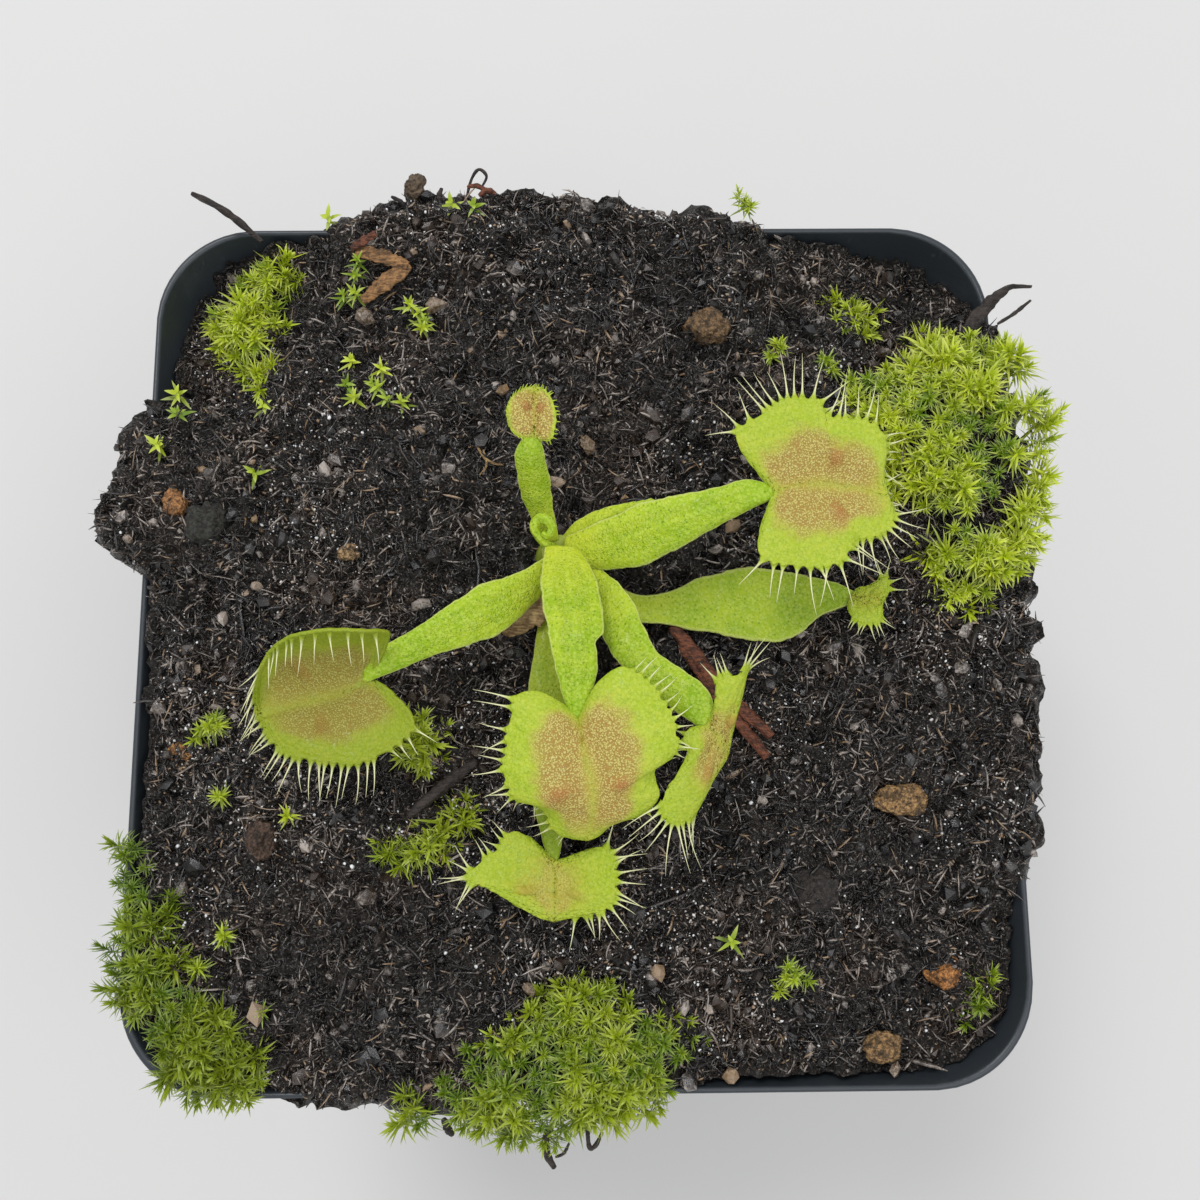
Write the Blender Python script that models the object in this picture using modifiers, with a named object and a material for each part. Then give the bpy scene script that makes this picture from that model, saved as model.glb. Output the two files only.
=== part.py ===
# A small venus flytrap growing in a square plastic nursery pot.
# Lengths in this script are written in millimetres and leave it in metres.
# Heights written as "above the rim" are measured from the pot's rim plane.
# Origin: centre of the pot's underside. +Z is up, -Y is the near side.
import math

import bmesh
import bpy
from mathutils import Euler, Matrix, Vector, noise

MM = 0.001

# Driving dimensions of the pot.
POT_HEIGHT = 72.0
RIM_HALF = 40.0
BASE_HALF = 29.0
CORNER_STEPS = 4
CORNER_SHARE = 0.23          # corner radius as a share of the half width
WALL = 1.0
RIM_BAND = 9.0               # height of the wider band below the rim
BAND_STEP = 1.0              # how far the wall steps in below the band
FLOOR = 1.2

# Clearance between two touching pieces.
GAP = 0.35

# The crown that every leaf grows from.
CROWN_X, CROWN_Y = -1.5, 6.6

for old in list(bpy.data.objects):
    bpy.data.objects.remove(old, do_unlink=True)

plant_collection = bpy.data.collections.new("potted_venus_flytrap")
cutter_collection = bpy.data.collections.new("cutters")
bpy.context.scene.collection.children.link(plant_collection)
bpy.context.scene.collection.children.link(cutter_collection)


def make_material(name, colour, roughness):
    """A Principled material of one plain colour."""
    material = bpy.data.materials.new(name)
    material.use_nodes = True
    shader = material.node_tree.nodes["Principled BSDF"]
    shader.inputs["Base Color"].default_value = (*colour, 1.0)
    shader.inputs["Roughness"].default_value = roughness
    shader.inputs["Metallic"].default_value = 0.0
    return material


def add_object(name, mesh, colour, roughness=0.6):
    """Link a mesh as a node of the part, with its own material."""
    thing = bpy.data.objects.new(name, mesh)
    plant_collection.objects.link(thing)
    mesh.materials.clear()
    mesh.materials.append(make_material(name, colour, roughness))
    return thing


def mesh_from(name, points, faces):
    """A mesh from points in millimetres above the rim plane."""
    mesh = bpy.data.meshes.new(name)
    scaled = [(x * MM, y * MM, (z + POT_HEIGHT) * MM) for x, y, z in points]
    mesh.from_pydata(scaled, [], faces)
    tidy = bmesh.new()
    tidy.from_mesh(mesh)
    bmesh.ops.recalc_face_normals(tidy, faces=tidy.faces)
    tidy.to_mesh(mesh)
    tidy.free()
    return mesh


def closed_loft(name, rings, top_centre=None):
    """Join equal rings in order; the first is capped flat, the last flat or to a point."""
    count = len(rings[0])
    points = [point for ring in rings for point in ring]
    faces = [list(range(count))]
    for level in range(len(rings) - 1):
        low = level * count
        high = low + count
        for i in range(count):
            j = (i + 1) % count
            faces.append([low + i, low + j, high + j, high + i])
    last = (len(rings) - 1) * count
    if top_centre is None:
        faces.append([last + i for i in range(count)])
    else:
        points.append(top_centre)
        peak = len(points) - 1
        for i in range(count):
            faces.append([last + i, last + (i + 1) % count, peak])
    return mesh_from(name, points, faces)


def make_cutter(source_mesh, name, swell):
    """A hidden copy of a mesh, swollen along its normals, that cuts room for a neighbour."""
    cutter = bpy.data.objects.new(name, source_mesh.copy())
    cutter_collection.objects.link(cutter)
    cutter.hide_render = True
    cutter.display_type = "WIRE"
    if swell:
        displace = cutter.modifiers.new("swell", "DISPLACE")
        displace.mid_level = 0.0
        displace.strength = swell * MM
    return cutter


def cut(thing, cutter):
    """Take the cutter's volume out of the piece."""
    boolean = thing.modifiers.new("cut_" + cutter.name, "BOOLEAN")
    boolean.operation = "DIFFERENCE"
    boolean.solver = "EXACT"
    boolean.object = cutter


# ---------------------------------------------------------------- the pot

def edge_distance(angle, half):
    """Distance from the centre to a rounded square's outline along a polar angle."""
    corner = CORNER_SHARE * half
    folded = angle % (math.pi / 2)
    folded = min(folded, math.pi / 2 - folded)
    if half * math.tan(folded) <= half - corner:
        return half / math.cos(folded)
    along = (half - corner) * (math.cos(folded) + math.sin(folded))
    across = (half - corner) * (math.cos(folded) - math.sin(folded))
    return along + math.sqrt(corner ** 2 - across ** 2)


def square_ring(half, z, angles):
    """One rounded-square ring of points at height z."""
    ring = []
    for angle in angles:
        reach = edge_distance(angle, half)
        ring.append((reach * math.cos(angle), reach * math.sin(angle), z))
    return ring


def ring_angles(side_steps):
    """Polar angles round a rounded square: along each straight side, then along its corner's arc."""
    centre = 1.0 - CORNER_SHARE
    corner_start = math.atan2(centre, 1.0)
    angles = []
    for quarter in range(4):
        first = quarter * math.pi / 2
        angles += [first + corner_start * (2 * i / side_steps - 1) for i in range(side_steps)]
        for step in range(CORNER_STEPS):
            turn = step * math.pi / 2 / CORNER_STEPS
            x = centre + CORNER_SHARE * math.cos(turn)
            y = centre + CORNER_SHARE * math.sin(turn)
            angles.append(first + math.atan2(y, x))
    return angles


def wall_half(z):
    """Half width of the pot's outside below the band, at height z above the rim (negative)."""
    share = (z + POT_HEIGHT) / (POT_HEIGHT - RIM_BAND)
    return BASE_HALF + share * (RIM_HALF - 0.4 - BAND_STEP - BASE_HALF)


def build_pot():
    """A thin tapered square tub with a wider band at the rim and drainage holes in its floor."""
    angles = ring_angles(2)
    foot = -POT_HEIGHT
    band = -RIM_BAND
    profile = [
        (BASE_HALF - 1.0, foot),
        (BASE_HALF, foot + 1.0),
        (wall_half(band), band - 0.6),
        (RIM_HALF - 0.4, band),
        (RIM_HALF, -0.4),
        (RIM_HALF - 0.3, 0.0),
        (RIM_HALF - WALL, 0.0),
        (RIM_HALF - 0.4 - WALL, band - 0.2),
        (wall_half(band) - WALL, band - 1.2),
        (BASE_HALF - WALL, foot + FLOOR + 1.0),
        (BASE_HALF - WALL - 0.8, foot + FLOOR),
    ]
    rings = [square_ring(half, z, angles) for half, z in profile]
    pot = add_object("pot", closed_loft("pot", rings), (0.035, 0.042, 0.05), 0.45)
    hole_places = []
    for quarter in range(4):
        turn = quarter * math.pi / 2
        hole_places.append((26.5, turn + math.pi / 4, 4.0))
        hole_places.append((19.5, turn, 3.2))
    for number, (reach, turn, radius) in enumerate(hole_places):
        drill = bmesh.new()
        place = Vector((reach * math.cos(turn), reach * math.sin(turn), FLOOR / 2)) * MM
        bmesh.ops.create_cone(
            drill, cap_ends=True, segments=12, radius1=radius * MM, radius2=radius * MM,
            depth=3 * FLOOR * MM, matrix=Matrix.Translation(place))
        mesh = bpy.data.meshes.new("drain_%d" % number)
        drill.to_mesh(mesh)
        drill.free()
        cut(pot, make_cutter(mesh, "drain_%d" % number, 0.0))
    return pot


# ---------------------------------------------------------------- the soil

# Soil level above the rim and reach past the rim's outside, going round from
# the right-hand side; None keeps the soil inside the wall.
SOIL_EDGE = [
    (0, 2.0, 2.2), (18, 2.8, 2.4), (30, 2.2, 1.6), (36, 1.0, 0.4), (40, -2.5, None),
    (45, -4.5, None), (52, -4.0, None), (60, -1.5, None), (66, 1.5, 0.6), (80, 2.4, 2.0),
    (90, 2.8, 2.6), (102, 3.4, 2.8), (112, 3.0, 2.6), (120, 1.5, 0.6), (126, -1.0, None),
    (132, -4.0, None), (140, -5.0, None), (147, -3.0, None), (152, 0.5, 0.3),
    (158, 1.8, 2.4), (164, 2.2, 5.0), (170, 2.2, 5.0), (174, 1.2, 1.2), (180, -0.4, None),
    (195, -0.8, None), (210, 0.0, None), (225, -1.2, None), (240, 0.9, 0.8),
    (250, 1.0, 1.2), (265, 1.0, 0.8), (280, 0.8, 0.3), (290, -0.4, None),
    (305, -1.5, None), (315, -3.0, None), (325, -1.8, None), (332, 0.8, 0.8),
    (342, 1.8, 2.0), (352, 2.0, 2.4), (360, 2.0, 2.2),
]
SOIL_SIDE_STEPS = 12
SOIL_CENTRE = 3.2            # height of the mound in the middle above the rim
SOIL_COLOUR = (0.035, 0.022, 0.015)


def soil_edge(angle):
    """Level and overhang of the soil's edge at a polar angle in radians."""
    degrees = math.degrees(angle) % 360.0
    for (a0, level0, over0), (a1, level1, over1) in zip(SOIL_EDGE, SOIL_EDGE[1:]):
        if a0 <= degrees <= a1:
            share = (degrees - a0) / (a1 - a0)
            level = level0 + share * (level1 - level0)
            if over0 is None or over1 is None or level < GAP:
                return level, None
            return level, over0 + share * (over1 - over0)
    return SOIL_EDGE[0][1], SOIL_EDGE[0][2]


def soil_height(x, y):
    """Height of the soil's surface above the rim: a low mound with lumps, sinking at the corners."""
    angle = math.atan2(y, x)
    share = math.hypot(x, y) / edge_distance(angle, RIM_HALF - WALL)
    level = soil_edge(angle)[0]
    blend = min(max((share - 0.45) / 0.5, 0.0), 1.0)
    blend = blend * blend * (3.0 - 2.0 * blend)
    lumps = noise.noise(Vector((x * 0.16, y * 0.16, 0.7))) * 1.6
    lumps += noise.noise(Vector((x * 0.4, y * 0.4, 4.2))) * 0.7
    near_crown = min(math.hypot(x - CROWN_X, y - CROWN_Y) / 9.0, 1.0)
    return SOIL_CENTRE * (1.0 - blend) + level * blend + lumps * near_crown * (1.0 - 0.6 * blend)


def build_soil():
    """The root ball: it follows the pot's inside and heaps over the rim where it was filled high."""
    angles = ring_angles(SOIL_SIDE_STEPS)
    columns = len(angles)
    edges = [list(soil_edge(angle)) for angle in angles]
    overhanging = [over is not None for _, over in edges]
    for i in range(columns):
        beside = overhanging[i - 1] or overhanging[(i + 1) % columns]
        if beside and not overhanging[i]:
            edges[i][0] = max(edges[i][0], 0.6)
    inside = RIM_HALF - WALL - GAP - 0.15
    band = -RIM_BAND
    rings = [
        square_ring(BASE_HALF - WALL - 1.0 - GAP, GAP + FLOOR - POT_HEIGHT, angles),
        square_ring(BASE_HALF - WALL - GAP, 3.0 + FLOOR - POT_HEIGHT, angles),
        square_ring(wall_half(band) - WALL - GAP - 0.1, band - 1.6, angles),
        square_ring(inside - 0.4, band, angles),
    ]
    wall_top, lip, crest = [], [], []
    for angle, (level, over) in zip(angles, edges):
        inner = edge_distance(angle, inside)
        direction = (math.cos(angle), math.sin(angle))
        if over is None:
            places = [(inner, min(level, GAP)), (inner - 0.3, level + 0.2), (inner - 1.2, level + 0.4)]
        else:
            outer = edge_distance(angle, RIM_HALF) + over
            places = [(inner, GAP), (outer, GAP), (outer - 0.5, GAP + 0.6 * level)]
        for ring, (reach, z) in zip((wall_top, lip, crest), places):
            ring.append((reach * direction[0], reach * direction[1], z))
    rings += [wall_top, lip, crest]
    for share in (0.93, 0.82, 0.68, 0.52, 0.36, 0.2):
        ring = []
        for angle in angles:
            reach = share * edge_distance(angle, inside)
            x, y = reach * math.cos(angle), reach * math.sin(angle)
            ring.append((x, y, soil_height(x, y)))
        rings.append(ring)
    mesh = closed_loft("soil", rings, top_centre=(0.0, 0.0, soil_height(0.0, 0.0)))
    return add_object("soil", mesh, SOIL_COLOUR, 0.9)


# ---------------------------------------------------------------- the plant

LEAF_GREEN = (0.22, 0.5, 0.05)
TRAP_GREEN = (0.42, 0.6, 0.1)
LEAF_THICK = 0.8


def curve_through(points, count):
    """Evenly numbered points on a smooth curve that passes through the given ones."""
    given = [Vector(p) for p in points]
    given = [2 * given[0] - given[1]] + given + [2 * given[-1] - given[-2]]
    spans = len(given) - 3
    result = []
    for i in range(count):
        place = spans * i / (count - 1)
        span = min(int(place), spans - 1)
        t = place - span
        p0, p1, p2, p3 = given[span:span + 4]
        result.append(0.5 * (2 * p1 + (p2 - p0) * t + (2 * p0 - 5 * p1 + 4 * p2 - p3) * t ** 2
                             + (3 * p1 - p0 - 3 * p2 + p3) * t ** 3))
    return result


def value_along(values, share):
    """Straight-line value between evenly spaced ones, at a share from 0 to 1."""
    place = share * (len(values) - 1)
    low = min(int(place), len(values) - 2)
    return values[low] + (place - low) * (values[low + 1] - values[low])


def trap_point(trap, side, round_share, out_share):
    """A point of one lobe in the trap's own axes.

    X runs along the hinge, the lobe reaches out to one side of it. The lobe's edge
    is an arc of an ellipse; the lobe leaves the hinge at its lift angle and bends
    by its curl on the way to the edge.
    """
    reach, lift, curl, back, front = trap["lobes"][side > 0]
    hinge = trap["hinge"]
    turn = math.radians(158.0 - 140.0 * round_share)
    stretch = hinge / 2 + (back if math.cos(turn) < 0 else front)
    edge_x = hinge / 2 + stretch * math.cos(turn)
    x = hinge * round_share + (edge_x - hinge * round_share) * out_share
    width = reach * math.sin(turn) ** 0.8 * out_share
    angle = math.radians(lift + 0.5 * curl * out_share)
    return Vector((x, side * width * math.cos(angle), width * math.sin(angle)))


def build_leaf(name, spine, widths, fold, trap=None):
    """One leaf: a winged stalk that widens and narrows, and the two-lobed trap at its end."""
    stations = 9
    centre = curve_through(spine, stations)
    points, faces = [], []
    for i, middle in enumerate(centre):
        ahead = (centre[min(i + 1, stations - 1)] - centre[max(i - 1, 0)]).normalized()
        sideways = Vector((0, 0, 1)).cross(ahead).normalized()
        upward = ahead.cross(sideways)
        half = value_along(widths, i / (stations - 1)) / 2
        for side in (-1, 0, 1):
            points.append(middle + sideways * side * half + upward * abs(side) * half * fold)
    for i in range(stations - 1):
        for j in range(2):
            k = 3 * i + j
            faces.append([k, k + 1, k + 4, k + 3])
    if trap:
        turn = Euler([math.radians(a) for a in trap["tilt"]], "XYZ").to_matrix()
        base = Vector(spine[-1])
        small = trap["hinge"] < 4
        steps, outs = trap["teeth"], (0.34, 0.67, 1.0) if small else (0.16, 0.55, 1.0)
        columns = [(side, out) for side in (-1,) for out in reversed(outs)]
        columns += [(1, 0.0)] + [(1, out) for out in outs]
        grid = []
        for row in range(steps + 1):
            line = []
            for column, (side, out) in enumerate(columns):
                if row == 0 and 2 <= column <= 4:
                    line.append(3 * (stations - 1) + column - 2)
                    continue
                points.append(base + turn @ trap_point(trap, side, row / steps, out))
                line.append(len(points) - 1)
            grid.append(line)
        for row in range(steps):
            for column in range(len(columns) - 1):
                faces.append([grid[row][column], grid[row][column + 1],
                              grid[row + 1][column + 1], grid[row + 1][column]])
            for side, column in ((-1, 0), (1, len(columns) - 1)):
                middle = (row + 0.5) / steps
                edge = trap_point(trap, side, middle, 1.0)
                outward = (edge - trap_point(trap, side, middle, 0.8)).normalized()
                length = trap["tooth"] * (0.55 + 0.45 * math.sin(math.pi * middle))
                points.append(base + turn @ (edge + outward * length + Vector((0, 0, 0.15 * length))))
                tip = len(points) - 1
                pair = [grid[row][column], grid[row + 1][column]]
                faces.append([pair[0], pair[1], tip] if side > 0 else [pair[1], pair[0], tip])
    mesh = mesh_from(name, [tuple(p) for p in points], faces)
    leaf = add_object(name, mesh, LEAF_GREEN, 0.4)
    solidify = leaf.modifiers.new("thickness", "SOLIDIFY")
    solidify.thickness = LEAF_THICK * MM
    solidify.offset = 0.0
    return leaf


# Each leaf: a stalk spine from the crown outwards (x, y, height above the rim),
# its widths along it, how far its wings fold up, and its trap. A trap has a hinge
# length, a tilt, a number and length of teeth, and its right and left lobes: reach,
# lift, curl, and how far the lobe runs back behind and on beyond the hinge.
LEAVES = {
    "leaf_east": dict(
        spine=[(0.4, 6.6, 7.3), (4.2, 6.8, 9.8), (9.6, 7.9, 12.0), (16.0, 10.3, 12.4)],
        widths=(2.0, 3.6, 4.4, 3.6, 1.8), fold=0.35,
        trap=dict(hinge=9.5, tilt=(0, -4, 2), teeth=16, tooth=3.0,
                  lobes=((7.4, 26, -26, 2.2, 1.0), (7.3, 30, -26, 2.4, 0.8)))),
    "leaf_east_low": dict(
        spine=[(1.0, 3.9, 4.4), (6.6, 2.1, 4.7), (12.8, 2.0, 5.0), (19.0, 1.7, 5.0), (24.4, 2.3, 5.6)],
        widths=(1.8, 3.6, 5.0, 6.2, 4.2, 1.2), fold=0.12,
        trap=dict(hinge=2.4, tilt=(0, 0, -12), teeth=5, tooth=1.4,
                  lobes=((2.4, 20, 0, 0.6, 0.4), (2.2, 35, 0, 0.6, 0.4)))),
    "leaf_south_east": dict(
        spine=[(0.2, 4.6, 5.8), (3.8, 0.4, 7.9), (6.9, -3.1, 9.8), (9.4, -6.1, 10.8),
               (10.9, -8.4, 10.8)],
        widths=(2.0, 3.6, 4.0, 3.8, 1.8), fold=0.3,
        trap=dict(hinge=4.0, tilt=(0, 52, -26), teeth=12, tooth=2.4,
                  lobes=((7.8, 6, 0, 0.3, 1.2), (5.4, 6, 0, 0.3, 0.8)))),
    "leaf_south": dict(
        spine=[(-1.3, 4.5, 7.6), (-0.2, 1.4, 10.6), (0.6, -3.0, 12.6), (0.4, -8.4, 11.8)],
        widths=(2.2, 4.0, 4.4, 3.8, 1.8), fold=0.3,
        trap=dict(hinge=6.2, tilt=(0, 24, -64), teeth=16, tooth=1.4,
                  lobes=((7.6, 30, -34, 3.2, 3.4), (5.6, 40, -34, 2.2, 3.0)))),
    "leaf_south_low": dict(
        spine=[(-2.0, 4.1, 4.4), (-2.1, -4.6, 5.4), (-2.4, -14.9, 5.4), (-2.1, -20.4, 5.6)],
        widths=(1.8, 3.4, 3.6, 3.0, 1.4), fold=0.2,
        trap=dict(hinge=4.2, tilt=(0, 4, -98), teeth=14, tooth=2.6,
                  lobes=((6.9, 34, -10, 2.0, 0.6), (7.0, 30, -10, 2.4, 0.6)))),
    "leaf_west": dict(
        spine=[(-3.3, 5.6, 6.2), (-6.8, 2.8, 8.2), (-11.4, -0.9, 10.0), (-16.4, -3.5, 10.0)],
        widths=(1.8, 3.4, 4.2, 3.6, 1.6), fold=0.3,
        trap=dict(hinge=7.2, tilt=(0, 12, 198), teeth=16, tooth=2.8,
                  lobes=((6.2, 82, -26, 2.2, 2.2), (8.2, 14, -24, 1.6, 4.6)))),
    "leaf_north": dict(
        spine=[(-2.3, 8.7, 6.4), (-2.9, 10.6, 9.0), (-3.7, 12.6, 11.0), (-3.5, 14.9, 12.6)],
        widths=(1.6, 2.8, 3.0, 2.4, 1.2), fold=0.35,
        trap=dict(hinge=3.2, tilt=(0, -8, 86), teeth=5, tooth=0.5,
                  lobes=((2.3, 30, 20, 0.5, 0.5), (2.3, 30, 20, 0.5, 0.5)))),
}


def build_crown(soil):
    """The short pale rootstock in the soil that carries the leaves."""
    heights = (-6.0, -4.5, -1.5, 1.5, 4.0, 6.6)
    radii = (1.6, 3.0, 3.2, 2.4, 1.9, 1.4)
    rings = []
    for z, radius in zip(heights, radii):
        ring = []
        for i in range(14):
            turn = 2 * math.pi * i / 14
            ring.append((CROWN_X + radius * math.cos(turn), CROWN_Y + radius * math.sin(turn), z))
        rings.append(ring)
    mesh = closed_loft("crown", rings, top_centre=(CROWN_X, CROWN_Y, heights[-1] + 0.5))
    cut(soil, make_cutter(mesh, "crown_room", GAP + 0.15))
    return add_object("crown", mesh, (0.3, 0.45, 0.12), 0.5)


def build_rod(name, points, radius, colour, roughness=0.8):
    """A twig or curled shoot: a round bar along a smooth path, thinner at both ends."""
    curve = bpy.data.curves.new(name, "CURVE")
    curve.dimensions = "3D"
    curve.bevel_depth = radius * MM
    curve.bevel_resolution = 1
    curve.use_fill_caps = True
    path = curve_through(points, 4 * len(points))
    spline = curve.splines.new("POLY")
    spline.points.add(len(path) - 1)
    for i, place in enumerate(path):
        spline.points[i].co = (place.x * MM, place.y * MM, (place.z + POT_HEIGHT) * MM, 1.0)
        spline.points[i].radius = 0.45 + 0.55 * math.sin(math.pi * (i + 0.6) / len(path)) ** 0.5
    rod = bpy.data.objects.new(name, curve)
    plant_collection.objects.link(rod)
    curve.materials.append(make_material(name, colour, roughness))
    weld = rod.modifiers.new("close_caps", "WELD")
    weld.merge_threshold = 0.00001
    return rod


def build_strip(name, points, width, thick, colour):
    """A flat scrap of bark or dead leaf along a path."""
    centre = curve_through(points, 3 * len(points))
    rows = []
    for i, middle in enumerate(centre):
        ahead = (centre[min(i + 1, len(centre) - 1)] - centre[max(i - 1, 0)]).normalized()
        sideways = Vector((0, 0, 1)).cross(ahead).normalized()
        half = width / 2 * (0.35 + 0.65 * math.sin(math.pi * (i + 0.7) / (len(centre) + 0.4)))
        ridge = middle + Vector((0, 0, 0.15 * width))
        rows.append([middle - sideways * half, ridge, middle + sideways * half])
    points = [tuple(p) for row in rows for p in row]
    faces = []
    for i in range(len(rows) - 1):
        for j in range(2):
            k = 3 * i + j
            faces.append([k, k + 1, k + 4, k + 3])
    scrap = add_object(name, mesh_from(name, points, faces), colour, 0.8)
    solidify = scrap.modifiers.new("thickness", "SOLIDIFY")
    solidify.thickness = thick * MM
    solidify.offset = 0.0
    return scrap


# ---------------------------------------------------------------- the moss

MOSS_GREEN = (0.2, 0.45, 0.05)

# Outline of each cushion, going round it, with its thickness.
MOSS_CUSHIONS = {
    "moss_north_west": (3.2, [
        (-37.0, 34.1), (-34.9, 36.6), (-30.6, 37.2), (-27.2, 37.6), (-27.3, 34.1), (-29.8, 28.9),
        (-30.4, 24.3), (-33.2, 26.9), (-36.6, 29.4)]),
    "moss_south_west": (3.0, [
        (-39.7, -17.1), (-36.7, -18.9), (-36.1, -23.1), (-36.4, -26.4), (-33.3, -28.6),
        (-31.0, -32.6), (-28.2, -35.4), (-26.1, -38.4), (-29.5, -40.0), (-34.5, -38.6),
        (-39.0, -33.0), (-41.2, -28.1), (-41.6, -23.9), (-40.6, -20.4)]),
    "moss_south": (3.2, [
        (-15.1, -39.7), (-11.7, -37.8), (-8.3, -35.0), (-3.6, -31.8), (-0.4, -29.6), (2.3, -30.4),
        (4.0, -32.6), (7.9, -32.9), (11.2, -36.0), (9.4, -39.2), (5.2, -41.2), (1.4, -42.6),
        (-2.0, -43.8), (-5.4, -42.6), (-10.8, -41.8), (-15.0, -41.3)]),
    "moss_east": (3.4, [
        (25.4, 24.4), (30.2, 26.8), (33.1, 29.2), (37.4, 29.6), (41.3, 27.2), (44.0, 23.8),
        (44.9, 20.4), (43.6, 17.1), (44.0, 14.3), (43.0, 10.1), (41.2, 5.6), (40.4, 2.4),
        (37.0, 2.4), (33.9, 1.8), (31.9, 4.0), (31.4, 7.9), (29.5, 13.4), (27.8, 17.2),
        (25.3, 21.0)]),
    "moss_north_east": (2.0, [
        (20.0, 31.4), (22.4, 32.9), (26.2, 33.2), (29.5, 32.4), (29.2, 30.6), (25.6, 29.6),
        (21.4, 29.4)]),
    "moss_middle": (2.6, [
        (-14.9, -7.9), (-12.8, -5.6), (-11.2, -7.4), (-10.8, -10.0), (-12.0, -12.2), (-14.6, -13.0),
        (-16.6, -11.4)]),
    "moss_middle_low": (2.2, [
        (-12.4, -17.8), (-9.4, -14.8), (-8.8, -16.6), (-11.4, -19.4), (-14.8, -21.0),
        (-17.2, -20.4), (-16.8, -17.6), (-15.4, -17.4)]),
    "moss_south_east": (2.2, [
        (34.7, -33.4), (37.6, -31.4), (39.6, -31.7), (39.2, -33.8), (36.4, -36.0), (33.6, -37.4),
        (33.0, -35.8)]),
}

# Single tufts of moss: centre and radius.
MOSS_TUFTS = [
    (-23.0, 38.6, 1.6), (-10.4, 40.2, 2.4), (16.5, 41.0, 1.6), (-20.7, 33.8, 2.0),
    (-15.2, 29.3, 2.0), (-17.6, 22.5, 3.0), (-29.2, 14.6, 1.5), (-36.0, 22.1, 1.4),
    (-37.4, 18.0, 1.4), (19.4, 26.7, 1.8), (24.6, 26.2, 1.6), (-32.9, -8.0, 2.2),
    (-31.1, -14.2, 1.4), (-30.6, -26.1, 1.4), (13.2, -27.0, 1.4), (18.5, -29.9, 2.0),
]


def build_cushion(name, outline, thick, soil_room, pot_room):
    """A low cushion of moss that drapes over the soil, and over the rim where it has grown past it."""
    count = max(16, len(outline) + 4)
    closed = [(x, y, 0.0) for x, y in outline]
    around = curve_through(closed + [closed[0]], count + 1)[:-1]
    middle = sum(around, Vector()) / count
    rings = []
    profile = ((0.45, -1.0), (0.95, -0.7), (1.0, 0.3), (0.93, 0.62), (0.72, 0.9), (0.4, 1.0))
    for share, rise in profile:
        ring = []
        for point in around:
            x, y = middle.x + share * (point.x - middle.x), middle.y + share * (point.y - middle.y)
            bumps = 0.25 * noise.noise(Vector((x * 0.5, y * 0.5, 2.0)))
            ground = soil_height(x, y)
            height = rise * thick * (1.0 + bumps) if rise > 0 else rise
            ring.append((x, y, ground + height))
        rings.append(ring)
    peak = (middle.x, middle.y, soil_height(middle.x, middle.y) + thick)
    cushion = add_object(name, closed_loft(name, rings, top_centre=peak), MOSS_GREEN, 0.7)
    cut(cushion, soil_room)
    cut(cushion, pot_room)
    return cushion


def build_tuft(name, x, y, radius, soil_room, pot_room):
    """One small tuft of moss: a low pointed button resting on the soil."""
    ground = soil_height(x, y)
    rings = []
    for share, z in ((0.5, -1.0), (1.0, -0.6), (1.0, 0.5), (0.6, 1.3)):
        ring = []
        for i in range(7):
            turn = 2 * math.pi * i / 7
            reach = share * radius
            ring.append((x + reach * math.cos(turn), y + reach * math.sin(turn), ground + z))
        rings.append(ring)
    tuft = add_object(name, closed_loft(name, rings, top_centre=(x, y, ground + 1.7)), MOSS_GREEN, 0.7)
    cut(tuft, soil_room)
    cut(tuft, pot_room)
    return tuft


# ---------------------------------------------------------------- grit, bark and twigs

# Each stone: centre, its three half sizes and its colour.
STONES = [
    (12.5, 28.8, (2.2, 1.7, 1.5), (0.22, 0.13, 0.06)),
    (28.3, -15.2, (2.5, 1.5, 1.3), (0.32, 0.19, 0.08)),
    (32.6, -30.4, (1.7, 1.5, 1.2), (0.4, 0.19, 0.07)),
    (26.6, -36.6, (1.7, 1.3, 1.1), (0.3, 0.18, 0.08)),
    (-20.3, 7.3, (1.0, 0.8, 0.8), (0.38, 0.24, 0.12)),
    (-36.4, 12.3, (1.2, 1.5, 1.1), (0.33, 0.16, 0.06)),
    (-27.8, -18.1, (1.2, 2.0, 1.1), (0.14, 0.08, 0.05)),
    (-35.8, -10.3, (1.1, 0.9, 0.8), (0.45, 0.22, 0.08)),
    (20.5, -22.8, (2.2, 1.9, 1.3), (0.06, 0.045, 0.035)),
    (-33.3, 10.0, (1.9, 2.2, 1.2), (0.05, 0.045, 0.04)),
]


def build_stone(number, x, y, half_sizes, colour, soil):
    """A piece of grit, a third of it bedded in the soil."""
    shape = bmesh.new()
    bmesh.ops.create_icosphere(shape, subdivisions=2, radius=1.0)
    place = Vector((x, y, soil_height(x, y) + 0.35 * half_sizes[2] + POT_HEIGHT))
    for vertex in shape.verts:
        rough = 1.0 + 0.22 * noise.noise(vertex.co * 1.7 + Vector((number, 0, 0)))
        for axis in range(3):
            vertex.co[axis] = (vertex.co[axis] * rough * half_sizes[axis] + place[axis]) * MM
    name = "stone_%d" % number
    mesh = bpy.data.meshes.new(name)
    shape.to_mesh(mesh)
    shape.free()
    cut(soil, make_cutter(mesh, name + "_bed", GAP + 0.1))
    return add_object(name, mesh, colour, 0.8)

TWIG_BROWN = (0.03, 0.022, 0.018)


def on_soil(places, lift):
    """Path points laid on the soil at a small height above it."""
    return [(x, y, soil_height(x, y) + lift) for x, y in places]


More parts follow.
